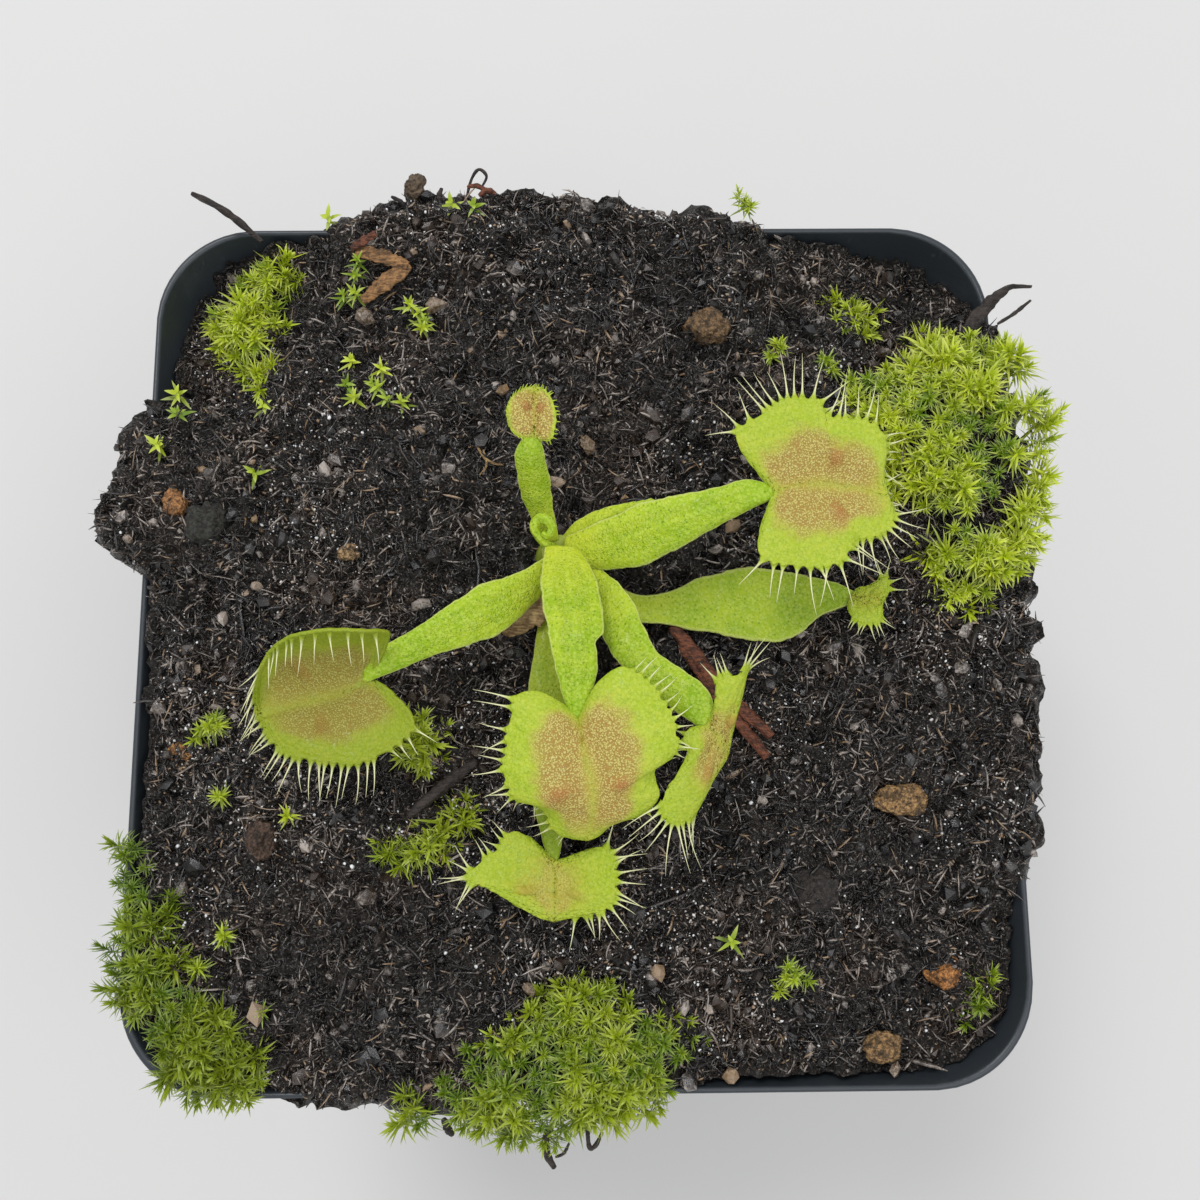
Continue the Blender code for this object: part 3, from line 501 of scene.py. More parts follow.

# ------------------------------------------------------------------ leaves
# Each leaf grows as one piece: a winged stalk, flat as a blade and speckled with dark green
# glands, and at its end a trap of two lobes joined along a midrib and fringed with stiff pale
# teeth. The inner face of each lobe is stippled tan to pink where it digests its prey.

# A stalk runs between its right and its left edge, seen from the crown. A trap has its midrib
# and, for its right and left lobe, the course of the margin from the stalk to the far end; how
# far the lobe swells; and runs of teeth: from and to which point of the margin, how many, how
# long and, for some, which way they lean. The fold is how high the stalk is creased and where,
# blush how strongly the trap is coloured inside, and the pair after it how far painted shade
# darkens the stalk and then the trap.
# One stalk has a second flap, its wing, between two more edges.
LEAVES = {
    "leaf_east": dict(
        right=[(-0.6, 5.2, 6.6), (3.0, 4.6, 8.2), (5.4, 4.5, 9.6), (8.0, 5.4, 11.0), (11.0, 6.9, 11.9),
               (14.0, 8.5, 12.1), (16.9, 9.8, 12.1)],
        left=[(-0.8, 7.6, 7.2), (2.2, 8.5, 9.2), (5.6, 9.6, 11.0), (8.6, 10.0, 12.0), (12.0, 10.6, 12.4),
              (14.6, 11.2, 12.4), (17.0, 10.6, 12.1)],
        wing=([(-0.8, 6.6, 6.0), (1.4, 7.6, 7.8), (4.0, 8.8, 9.4), (6.4, 9.7, 10.8)],
              [(-1.0, 7.9, 6.2), (0.5, 9.1, 7.6), (3.2, 9.8, 9.2), (6.8, 9.9, 10.9)]),
        fold=(0.7, 0.3), blush=1.0, dusk=(0.0, 0.1),
        midrib=[(16.7, 10.2, 12.3), (19.5, 10.8, 12.0), (22.5, 10.5, 12.0), (26.0, 9.7, 12.5)],
        lobes=[
            (0.5, [(16.7, 10.2, 12.3), (15.9, 8.4, 12.7), (15.2, 6.6, 13.1), (14.9, 4.8, 13.4),
                   (15.4, 3.9, 13.5), (16.8, 3.6, 13.5), (18.4, 3.4, 13.5), (20.0, 3.4, 13.5),
                   (21.6, 3.7, 13.5), (22.4, 4.7, 13.4), (23.1, 5.8, 13.2), (24.6, 6.0, 13.1),
                   (25.6, 6.6, 12.9), (26.4, 7.7, 12.8), (26.3, 8.8, 12.6), (26.0, 9.7, 12.5)],
             [(3.5, 6.0, 4, 2.8), (6.2, 8.6, 5, 3.6), (9.0, 11.4, 6, 3.2), (11.6, 15.0, 9, 2.8)]),
            (0.5, [(16.7, 10.2, 12.3), (15.1, 12.0, 12.7), (13.6, 14.0, 13.1), (13.4, 15.3, 13.3),
                   (14.8, 16.3, 13.4), (16.0, 17.0, 13.5), (17.2, 17.8, 13.5), (18.8, 18.1, 13.5),
                   (20.4, 17.9, 13.5), (20.9, 16.8, 13.4), (22.2, 16.3, 13.4), (24.0, 16.2, 13.3),
                   (25.6, 15.3, 13.2), (26.0, 13.6, 13.0), (25.7, 11.8, 12.8), (26.0, 9.7, 12.5)],
             [(2.6, 4.0, 3, 2.6), (4.6, 8.2, 9, 3.6), (8.6, 12.0, 7, 3.2), (12.2, 15.0, 8, 2.8)])]),
    "leaf_east_low": dict(
        right=[(1.0, 3.8, 4.4), (4.1, 0.9, 4.6), (8.3, 0.2, 4.8), (11.4, -0.4, 4.9), (14.5, -1.0, 4.9),
               (17.6, -1.4, 4.8), (19.9, -0.5, 4.9), (21.6, 0.9, 5.2), (24.4, 1.9, 5.6)],
        left=[(1.8, 5.0, 5.0), (5.4, 2.9, 5.1), (8.3, 3.1, 5.3), (11.4, 4.3, 5.5), (15.6, 5.1, 5.6),
              (19.7, 4.5, 5.5), (22.8, 3.7, 5.6), (24.5, 2.9, 5.7)],
        fold=(-0.45, 0.45), blush=0.0, dusk=(0.25, 0.12),
        midrib=[(24.2, 2.4, 5.7), (25.6, 2.1, 5.8), (26.7, 1.9, 6.0)],
        lobes=[
            (0.2, [(24.1, 2.2, 5.7), (23.8, 1.3, 6.1), (24.1, 0.4, 6.4), (24.9, 0.0, 6.5),
                   (25.9, 0.0, 6.5), (26.6, 0.5, 6.4), (26.7, 1.9, 6.0)], [(1.8, 5.2, 10, 1.3)]),
            (0.2, [(24.2, 2.6, 5.7), (24.9, 3.2, 6.1), (25.9, 3.4, 6.3), (27.1, 4.1, 6.5),
                   (27.4, 3.0, 6.4), (26.7, 1.9, 6.0)], [(2.5, 4.8, 5, 1.4)])]),
    "leaf_south_east": dict(
        right=[(0.2, 4.0, 6.2), (1.6, 1.4, 7.6), (2.4, -1.4, 9.0), (3.6, -3.6, 9.8), (5.2, -5.4, 10.2),
               (7.2, -7.0, 10.4), (8.8, -8.2, 10.6), (10.3, -9.3, 10.8)],
        left=[(1.4, 5.6, 7.0), (3.2, 3.8, 8.2), (4.8, 1.8, 9.2), (5.7, -0.6, 9.8), (6.8, -2.8, 10.3),
              (8.7, -4.4, 10.8), (10.4, -5.7, 11.2), (11.3, -7.3, 11.2), (11.2, -8.8, 10.9)],
        fold=(0.45, 0.4), blush=0.7, dusk=(0.05, 0.15),
        midrib=[(10.7, -9.1, 11.0), (11.4, -9.9, 10.7), (12.4, -11.1, 9.8)],
        lobes=[
            (0.5, [(10.7, -9.1, 11.0), (9.2, -9.4, 11.6), (8.7, -10.2, 11.8), (9.0, -11.4, 11.8),
                   (8.2, -12.9, 11.7), (7.2, -14.3, 11.5), (6.8, -15.9, 11.3), (7.4, -16.8, 11.0),
                   (8.5, -16.9, 10.6), (9.5, -16.3, 10.2), (10.1, -15.0, 10.0), (11.0, -13.6, 9.8),
                   (11.9, -12.3, 9.7), (12.4, -11.1, 9.8)],
             [(1.2, 3.0, 3, 1.2), (5.6, 9.6, 11, 3.6, (0.0, -0.4, 0.0)), (9.8, 11.0, 2, 1.6)]),
            (0.4, [(10.8, -8.9, 11.0), (11.4, -7.6, 11.7), (11.6, -6.2, 12.2), (11.6, -5.3, 12.5),
                   (12.4, -5.0, 12.6), (13.2, -4.9, 12.5), (14.0, -4.3, 12.2), (13.8, -5.8, 11.6),
                   (13.3, -7.4, 11.0), (12.8, -9.2, 10.4), (12.4, -11.1, 9.8)],
             [(2.6, 4.4, 4, 1.6), (5.5, 6.3, 5, 2.6, (0.8, 0.6, 0.0))])]),
    "leaf_south": dict(
        right=[(-2.5, 6.4, 8.4), (-2.8, 3.6, 9.8), (-2.6, 1.0, 11.0), (-2.1, -1.5, 12.0), (-1.7, -4.0, 12.2),
               (-0.9, -6.8, 12.0), (-0.1, -9.2, 11.4)],
        left=[(0.4, 6.2, 8.6), (1.4, 4.4, 9.6), (2.0, 2.4, 10.6), (2.3, 0.2, 11.5), (2.4, -1.3, 12.0),
              (1.7, -2.3, 12.2), (1.9, -3.6, 12.3), (1.7, -5.4, 12.2), (0.9, -7.2, 12.0), (0.5, -9.2, 11.4)],
        fold=(0.5, 0.62), blush=1.0, dusk=(0.0, 0.05),
        midrib=[(0.3, -8.6, 11.7), (0.8, -11.5, 12.1), (1.4, -14.5, 11.6), (1.2, -16.6, 10.2),
                (0.9, -18.0, 9.0)],
        lobes=[
            (0.9, [(0.2, -8.4, 11.7), (-1.2, -7.2, 12.2), (-3.2, -6.2, 12.7), (-4.9, -6.5, 12.9),
                   (-5.2, -7.8, 12.9), (-5.6, -9.4, 12.8), (-5.7, -11.0, 12.7), (-6.0, -12.4, 12.5),
                   (-5.5, -13.9, 12.1), (-5.0, -14.8, 11.6), (-3.6, -15.1, 11.0), (-2.5, -15.9, 10.4),
                   (-1.8, -17.3, 9.6), (-0.5, -17.9, 9.2), (0.9, -18.0, 9.0)],
             [(2.8, 4.2, 2, 3.6), (4.6, 9.0, 8, 2.4), (9.0, 12.0, 7, 2.2, (0.0, -0.3, -0.5)),
              (12.2, 14.0, 5, 1.4, (0.0, 0.0, -0.8))]),
            (0.9, [(0.4, -8.3, 11.7), (1.0, -7.0, 12.2), (2.1, -5.4, 12.8), (3.8, -4.2, 13.2),
                   (5.0, -4.7, 13.3), (6.2, -5.7, 13.3), (7.2, -7.0, 13.2), (8.0, -8.6, 13.1),
                   (8.3, -10.2, 12.9), (8.0, -11.4, 12.6), (6.6, -12.3, 12.2), (6.6, -13.4, 11.7),
                   (6.9, -14.6, 11.2), (5.8, -15.9, 10.6), (4.4, -16.3, 10.1), (3.0, -16.8, 9.5),
                   (1.9, -17.7, 9.1), (0.9, -18.0, 9.0)],
             [(3.6, 9.0, 12, 1.8), (9.0, 10.0, 2, 1.8), (12.8, 14.6, 4, 1.6, (0.0, -0.5, -0.4)),
              (15.0, 17.0, 3, 1.3, (0.0, 0.0, -0.8))])]),
    "leaf_south_low": dict(
        right=[(-2.8, 4.6, 4.6), (-3.4, -1.0, 5.0), (-4.1, -5.5, 5.4), (-4.3, -10.0, 5.4), (-3.7, -14.5, 5.4),
               (-3.1, -17.4, 5.5), (-2.3, -20.2, 5.7)],
        left=[(-1.2, 4.6, 4.8), (-0.7, -2.0, 5.0), (-0.4, -6.0, 5.2), (-0.5, -10.0, 5.3), (-0.8, -15.0, 5.4),
              (-1.2, -18.0, 5.5), (-1.6, -20.3, 5.7)],
        fold=(0.3, 0.5), blush=0.5, dusk=(0.45, 0.15),
        midrib=[(-1.9, -20.0, 5.9), (-1.9, -22.2, 6.0), (-1.9, -24.7, 6.3)],
        lobes=[
            (0.05, [(-2.0, -20.0, 5.9), (-2.8, -19.1, 6.3), (-4.1, -17.8, 7.2), (-5.4, -17.3, 7.8),
                   (-6.2, -18.0, 8.0), (-6.7, -18.8, 8.0), (-7.8, -19.6, 8.1), (-9.0, -20.7, 8.3),
                   (-8.8, -21.4, 8.2), (-7.3, -22.1, 7.8), (-5.7, -23.1, 7.2), (-4.3, -23.9, 6.8),
                   (-3.0, -24.5, 6.5), (-1.9, -24.7, 6.3)],
             [(3.2, 6.4, 5, 1.5), (6.6, 8.2, 6, 2.6)]),
            (0.05, [(-1.8, -20.0, 5.9), (-1.0, -19.8, 6.3), (0.4, -19.2, 7.0), (1.8, -18.7, 7.6),
                   (2.8, -18.8, 8.0), (3.2, -19.7, 8.1), (3.4, -20.8, 8.1), (3.4, -22.0, 8.0),
                   (3.2, -23.0, 7.7), (2.5, -23.8, 7.3), (1.4, -24.2, 6.9), (0.2, -24.4, 6.6),
                   (-0.9, -24.6, 6.4), (-1.9, -24.7, 6.3)],
             [(3.6, 8.0, 8, 3.0), (8.0, 11.4, 7, 2.4)])]),
    "leaf_west": dict(
        right=[(-1.6, 6.6, 6.8), (-4.6, 4.5, 7.8), (-7.5, 3.3, 8.8), (-9.5, 2.0, 9.5), (-11.5, 0.5, 10.0),
               (-14.0, -1.2, 10.4), (-16.2, -2.6, 10.4), (-17.4, -4.1, 10.1)],
        left=[(-1.8, 3.8, 6.2), (-4.0, 1.4, 7.2), (-5.6, -0.4, 8.2), (-8.0, -1.7, 9.0), (-10.5, -2.5, 9.5),
              (-13.0, -3.5, 9.9), (-15.5, -4.5, 10.1), (-17.4, -5.3, 10.0)],
        fold=(0.55, 0.45), blush=1.0, dusk=(0.0, 0.5),
        midrib=[(-16.9, -4.9, 10.1), (-19.6, -6.0, 9.8), (-22.6, -6.7, 9.6), (-26.0, -7.8, 10.0)],
        lobes=[
            (-1.3, [(-16.9, -4.8, 10.1), (-15.9, -3.4, 11.2), (-15.0, -2.0, 12.6), (-15.0, -1.5, 13.4),
                    (-16.4, -1.5, 14.8), (-19.0, -1.6, 15.6), (-21.4, -1.8, 15.3), (-23.1, -2.2, 14.5),
                    (-24.3, -2.9, 13.5), (-25.2, -3.9, 12.5), (-26.0, -5.3, 11.4), (-26.2, -6.6, 10.6),
                    (-26.0, -7.8, 10.0)],
             [(3.4, 8.4, 11, 2.2, (0.0, -4.0, -1.2)), (8.7, 12.0, 8, 2.4, (-0.3, -0.9, -0.6))], 0.006),
            (-0.7, [(-16.8, -5.0, 10.1), (-15.6, -5.6, 10.3), (-14.4, -6.6, 10.5), (-13.3, -7.8, 10.6),
                    (-12.9, -9.0, 10.6), (-13.6, -9.8, 10.5), (-14.8, -10.8, 10.4), (-16.2, -11.5, 10.3),
                    (-18.0, -12.0, 10.2), (-20.0, -11.8, 10.1), (-21.6, -11.6, 10.1), (-23.3, -11.2, 10.1),
                    (-24.4, -10.4, 10.1), (-25.2, -9.3, 10.1), (-26.0, -7.8, 10.0)],
             [(4.0, 6.4, 4, 2.0), (6.8, 12.0, 14, 3.0, (0.0, -0.5, -0.2)),
              (12.2, 14.0, 5, 2.4, (-0.2, -0.6, 0.0))])]),
    "leaf_north": dict(
        right=[(-1.4, 7.6, 6.6), (-1.9, 10.4, 8.6), (-2.1, 12.2, 10.6), (-2.5, 13.8, 12.0),
               (-2.8, 15.4, 12.6)],
        left=[(-2.8, 7.6, 6.6), (-4.3, 10.4, 8.6), (-4.7, 12.0, 10.6), (-4.9, 13.6, 12.0),
              (-4.0, 15.4, 12.6)],
        fold=(0.5, 0.5), blush=1.6, dusk=(0.1, 0.0),
        midrib=[(-3.2, 14.9, 12.6), (-3.2, 17.0, 12.7), (-3.1, 19.1, 13.0)],
        lobes=[
            (0.15, [(-3.1, 14.9, 12.6), (-2.4, 14.6, 12.8), (-1.7, 14.8, 13.0), (-1.4, 16.3, 13.3),
                    (-1.7, 17.9, 13.3), (-2.3, 18.8, 13.2), (-3.1, 19.1, 13.0)], [(1.2, 6.0, 16, 0.1)]),
            (0.15, [(-3.3, 14.9, 12.6), (-4.1, 14.9, 12.8), (-5.1, 15.3, 13.1), (-5.6, 16.7, 13.6),
                    (-5.1, 18.1, 13.5), (-4.1, 18.9, 13.3), (-3.1, 19.1, 13.0)],
             [(1.2, 5.9, 18, 0.25, (1.0, 0.0, 0.6))])]),
}


def unit(vectors):
    """Each vector at length one."""
    return vectors / np.maximum(np.linalg.norm(vectors, axis=-1, keepdims=True), 1e-9)


def curve_through(points, places):
    """A smooth curve through the points, a cubic between each pair, at places counted in points."""
    given = np.asarray(points, float)
    given = np.concatenate([[2 * given[0] - given[1]], given, [2 * given[-1] - given[-2]]])
    places = np.clip(places, 0, len(points) - 1)
    span = np.minimum(places.astype(int), len(points) - 2)
    t = (places - span)[:, None]
    p0, p1, p2, p3 = (given[span + k] for k in range(4))
    return 0.5 * (2 * p1 + (p2 - p0) * t + (2 * p0 - 5 * p1 + 4 * p2 - p3) * t ** 2
                  + (3 * p1 - p0 - 3 * p2 + p3) * t ** 3)


def spread_evenly(points, count):
    """Places along a smooth curve, counted in its points, with equal lengths between them."""
    fine = np.linspace(0, len(points) - 1, 40 * len(points))
    steps = np.linalg.norm(np.diff(curve_through(points, fine), axis=0), axis=1)
    length = np.concatenate([[0], np.cumsum(steps)])
    return np.interp(np.linspace(0, length[-1], count), length, fine)


def even_curve(points, count):
    """A smooth curve through the points, as points with equal lengths between them."""
    return curve_through(points, spread_evenly(points, count))


def thick_sheet(middle, thick):
    """Both faces of a sheet half its thickness off the middle surface, joined round the edge."""
    rows, columns = middle.shape[:2]
    normal = unit(np.cross(np.gradient(middle, axis=0), np.gradient(middle, axis=1)))
    offset = normal * np.broadcast_to(thick, (rows, columns))[..., None] / 2
    points = np.concatenate([(middle + offset).reshape(-1, 3), (middle - offset).reshape(-1, 3)])
    upper = grid_faces(rows, columns)
    index = np.arange(rows * columns).reshape(rows, columns)
    loop = np.concatenate([index[0, :-1], index[:-1, -1], index[-1, :0:-1], index[:0:-1, 0]])
    after = np.roll(loop, -1)
    rim = np.stack([after, loop, loop + rows * columns, after + rows * columns], -1)
    return points, np.concatenate([upper[:, ::-1], upper + rows * columns, rim[:, ::-1]])


def stalk_surface(right, left, fold, rows=110, columns=33):
    """Straight across from edge to edge, raised to a soft crease: a tent with a rounded top."""
    right, left = even_curve(right, rows), even_curve(left, rows)
    along, across = np.linspace(0, 1, rows)[:, None], np.linspace(0, 1, columns)[None, :]
    uneven = 0.03 * rough(along * 17, 3.0 + right[0, 0]) + 0.012 * rough(along * 75, 7.0)
    share = across + uneven * (2 * across - 1) ** 5
    points = right[:, None] + (left - right)[:, None] * share[..., None]
    upward = unit(np.cross(np.gradient((left + right) / 2, axis=0), left - right))
    high, crest = fold
    tent = np.minimum(across / crest, (1 - across) / (1 - crest))
    rise = high * (tent - 0.35 * tent ** 4) * np.sin(math.pi * np.clip(along * 0.9 + 0.08, 0, 1)) ** 0.5
    rise = rise + 0.12 * rough(along * 7, across * 2 + 2.0) + 0.012 * rough(along * 50, across * 9)
    return points + upward[:, None] * rise[..., None], along + 0 * across, np.abs(2 * across - 1) + 0 * along


def lobe_surface(midrib, margin, swell, side, teeth_at, rows, out, notch=0.04):
    """Straight from midrib to margin, swollen between by a product of sines.

    The margin draws back between teeth, and a crease lies across the lobe.
    """
    place = spread_evenly(margin, rows)
    inner, outer = even_curve(midrib, rows), curve_through(margin, place)
    away = np.abs(place[:, None] - np.array(teeth_at)[None]).min(1)
    scallop = notch * (1 - np.exp(-(away / 0.14) ** 2))
    along, out = np.linspace(0, 1, rows)[:, None], np.asarray(out)[None, :]
    reach = out * (1 - scallop[:, None] * out ** 8)
    points = inner[:, None] + (outer - inner)[:, None] * reach[..., None]
    upward = unit(np.cross(midrib[-1] - midrib[0], outer[rows // 2] - inner[rows // 2])) * side
    rise = swell * np.sin(math.pi * out) * np.sin(math.pi * along) ** 0.6
    rise = rise + 0.3 * np.exp(-(out / 0.13) ** 2) * np.sin(math.pi * along) ** 0.5
    crease = np.exp(-((along - 0.58 - 0.25 * (out - 0.35)) / 0.035) ** 2 - ((out - 0.38) / 0.16) ** 2)
    rise = rise + 0.3 * crease + 0.10 * rough(along * 9, out * 4 + side) * out
    rise = rise + 0.03 * rough(along * 40, out * 20 + 2 * side)
    return points + upward * rise[..., None], along + 0 * out, out + 0 * along, crease


def tooth_fringe(surface, places, lengths, leans, rows_at):
    """Each tooth: a tube that leaves the margin broad and flat, narrows at once and then tapers.

    It points outward from the lobe, with its own lean and bow.
    """
    rings, sides = 12, 6
    row = np.clip(np.round(rows_at).astype(int), 2, surface.shape[0] - 3)
    root = surface[row, -3]
    tangent = unit(surface[row + 2, -2] - surface[row - 2, -2])
    outward = surface[row, -1] - surface[row, -8]
    outward = unit(outward - tangent * (outward * tangent).sum(-1, keepdims=True))
    upward = np.cross(tangent, outward)
    upward *= np.sign(upward[:, 2:3] + 1e-6)
    count = len(row)
    way = unit(outward + leans + tangent * chance.normal(0, 0.16, (count, 1))
               + upward * chance.normal(0.05, 0.14, (count, 1)))
    lengths = lengths * chance.uniform(0.72, 1.12, count) + 0.35
    bend = tangent * chance.normal(0, 0.11, (count, 1)) + upward * chance.normal(0.05, 0.10, (count, 1))
    share = np.linspace(0, 1, rings) ** 1.25
    middle = root[:, None] + (way * lengths[:, None])[:, None] * share[:, None]
    middle = middle + (bend * lengths[:, None])[:, None] * (share ** 2)[:, None]
    small = np.minimum(1.0, lengths / 2.2)[:, None]
    wide = small * (0.085 * (1.12 - share) + 0.34 * np.exp(-(share * lengths[:, None] / 0.36) ** 1.3))
    deep = small * (0.085 * (1.12 - share) + 0.06 * np.exp(-share / 0.08))
    across = unit(np.cross(way, upward))
    thick_way = np.cross(across, way)
    turn = np.arange(sides) * 2 * math.pi / sides
    ring = (across[:, None, None] * (np.cos(turn) * wide[..., None])[..., None]
            + thick_way[:, None, None] * (np.sin(turn) * deep[..., None])[..., None])
    points = middle[:, :, None] + ring
    first = rings * sides * np.arange(count)[:, None, None]
    faces = grid_faces(rings, sides, True)[None] + first
    tips = (rings - 1) * sides + np.arange(sides)[None] + first[:, 0]
    mark = np.broadcast_to((share * lengths[:, None])[..., None], points.shape[:3])
    return points.reshape(-1, 3), faces.reshape(-1, 4)[:, ::-1], tips[:, ::-1], mark.ravel()


def trap_parts(leaf, rows=170, columns=26):
    """Both lobes as one grid, right margin to left margin, and the fringe of teeth on each."""
    out = np.sin(np.linspace(0, math.pi / 2, columns)) * 0.5 + np.linspace(0, 1, columns) * 0.5
    grids, fringes = [], []
    for side, (swell, margin, runs, *notch) in zip((-1, 1), leaf["lobes"]):
        places, lengths, leans = [], [], []
        for start, end, count, length, *lean in runs:
            step = (end - start) / count
            places.append(start + step * (np.arange(count) + 0.5) + chance.normal(0, 0.16 * step, count))
            lengths.append(np.full(count, length))
            leans.append(np.tile(lean[0] if lean else (0.0, 0.0, 0.0), (count, 1)))
        places, lengths, leans = map(np.concatenate, (places, lengths, leans))
        midrib = np.array(leaf["midrib"])
        surface, along, across, crease = lobe_surface(midrib, margin, swell, side, places, rows, out, *notch)
        rows_at = np.interp(places, spread_evenly(margin, rows), np.arange(rows))
        fringes.append(tooth_fringe(surface, places, lengths, leans, rows_at))
        grids.append([g[:, ::side] for g in (surface, along, across * side, crease)])
    joined = [np.concatenate([grids[0][k], grids[1][k][:, 1:]], 1) for k in range(4)]
    return joined, fringes


blade = Finish("leaf_blade", Specular_IOR_Level=0.22, Coat_Roughness=0.2)
on_trap, inside, outward, toward_end, tooth_mark, blush, dusk = (
    blade.mark(m) for m in ("on_trap", "inside", "outward", "toward_end", "tooth", "blush", "dusk"))
mottle = blade.noise(2.2, 4.0, 0.6)
fine_mottle = blade.noise(0.5, 3.0, 0.6)
grain = blade.noise(0.17, 2.0, 0.6)
speckle = (1.0 - grain.ramp(0.38, 0.50)) * (0.4 + fine_mottle.ramp(0.35, 0.6) * 0.6)
pores = blade.cells(0.3).ramp(0.3, 0.72)
dots = 1.0 - blade.cells(0.44).ramp(0.13, 0.27)
stipple = blade.cells(0.165).ramp(0.28, 0.70)
stalk_colour = blade.blend(mottle.ramp(0.3, 0.7), (0.29, 0.46, 0.009), (0.44, 0.57, 0.024))
stalk_colour = blade.blend(toward_end.ramp(0.4, 1.0) * 0.45, stalk_colour, (0.20, 0.40, 0.008))
stalk_colour = blade.blend((1.0 - pores) * 0.35, stalk_colour, (0.62, 0.74, 0.14))
stalk_colour = blade.blend((1.0 - toward_end.ramp(0.0, 0.4)) * 0.5, stalk_colour, (0.62, 0.64, 0.04))
stalk_colour = blade.blend(speckle * 0.35, stalk_colour, (0.12, 0.25, 0.004))
stalk_colour = blade.blend(dots * 0.6, stalk_colour, (0.10, 0.23, 0.004))
stalk_colour = blade.blend(outward.ramp(0.9, 0.97) * 0.6, stalk_colour, (0.64, 0.70, 0.22))
lobe_colour = blade.blend(outward.ramp(0.1, 0.8), (0.48, 0.43, 0.040), (0.40, 0.53, 0.022))
lobe_colour = blade.blend(mottle.ramp(0.35, 0.7) * 0.7, lobe_colour, (0.52, 0.58, 0.060))
lobe_colour = blade.blend(fine_mottle.ramp(0.35, 0.65) * 0.4, lobe_colour, (0.28, 0.46, 0.020))
lobe_colour = blade.blend((1.0 - pores) * 0.3, lobe_colour, (0.60, 0.70, 0.13))
lobe_colour = blade.blend(speckle * 0.4, lobe_colour, (0.20, 0.29, 0.008))
spread = outward + mottle * 0.5 - 0.25 - (blush - 1.0) * 0.5
patch = inside * (1.0 - spread.ramp(0.45, 0.72)) * toward_end.ramp(0.02, 0.2)
patch = patch * (0.35 + outward.ramp(0.0, 0.16) * 0.65)
patch = patch * (1.0 - toward_end.ramp(0.72, 0.98)) * blush.ramp(0.0, 1.0)
lobe_colour = blade.blend(patch * (0.45 + stipple * 0.45), lobe_colour, (0.39, 0.215, 0.06))
lobe_colour = blade.blend(patch * (1.0 - stipple) * 0.65, lobe_colour, (0.78, 0.66, 0.24))
ridge = blade.mark("ridge") * inside * blush.ramp(0.0, 1.0)
lobe_colour = blade.blend(ridge * 0.6, lobe_colour, (0.44, 0.14, 0.05))
leaf_colour = blade.blend(on_trap, stalk_colour, lobe_colour)
# Painted shade: lower and overshadowed leaves are blended towards a dark olive, the stalk and the trap each
# by its own amount.
leaf_colour = blade.blend(dusk, leaf_colour, (0.16, 0.185, 0.008))
leaf_colour = blade.blend(tooth_mark.ramp(0.25, 1.1), leaf_colour, (0.78, 0.78, 0.46))
blade_material = blade.finish(
    Base_Color=leaf_colour, Roughness=0.38 + mottle * 0.2, Coat_Weight=fine_mottle.ramp(0.5, 0.75) * 0.4,
    bump=(stipple * patch * -0.8 + pores * -0.35 + grain * 0.8 + fine_mottle * 0.6, 0.8, 0.09))

for name, leaf in LEAVES.items():
    stalk, stalk_along, stalk_across = stalk_surface(leaf["right"], leaf["left"], leaf["fold"])
    stalk_points, stalk_faces = thick_sheet(stalk, 0.22 + 0.4 * (1 - stalk_across ** 4))
    if "wing" in leaf:
        wing, wing_along, wing_across = stalk_surface(*leaf["wing"], (0.2, 0.5), 50, 15)
        wing_points, wing_faces = thick_sheet(wing, 0.4)
        make_piece(name + "_wing", wing_points, wing_faces, blade_material, [name], "leaf",
                   outward=np.tile(wing_across.ravel(), 2), toward_end=np.tile(wing_along.ravel(), 2) * 0.3)
    (lobes, along, across, crease), fringes = trap_parts(leaf)
    lobe_points, lobe_faces = thick_sheet(lobes, 0.28 + 0.3 * (1 - across ** 2))
    blocks, faces = [stalk_points, lobe_points], [stalk_faces, lobe_faces + len(stalk_points)]
    marks = [(0.0, stalk_across, stalk_along, 0.0, 0.0), (1.0, np.abs(across), along, crease, 0.0)]
    columns = []
    for (on, outer, ahead, ridge_mark, tooth), points in zip(marks, blocks):
        half = len(points) // 2
        both = [np.broadcast_to(v, outer.shape).ravel() for v in (on, outer, ahead, ridge_mark, tooth)]
        columns.append(np.concatenate(
            [np.stack(both + [np.full(half, side)]) for side in (1.0, 0.0)], 1))
    for points, tube_faces, tips, tooth in fringes:
        first = sum(map(len, blocks))
        blocks.append(points)
        faces += [tube_faces + first, tips + first]
        ones = np.ones(len(points))
        columns.append(np.stack([ones, ones, ones, 0 * ones, tooth, 0 * ones]))
    columns = np.concatenate(columns, 1)
    make_piece(name + "_blade", np.concatenate(blocks), faces, blade_material, [name], "leaf",
               on_trap=columns[0], outward=columns[1], toward_end=columns[2], ridge=columns[3],
               tooth=columns[4], inside=columns[5], blush=np.full(columns.shape[1], leaf["blush"]),
               dusk=np.where(columns[0] > 0, *leaf["dusk"][::-1]))
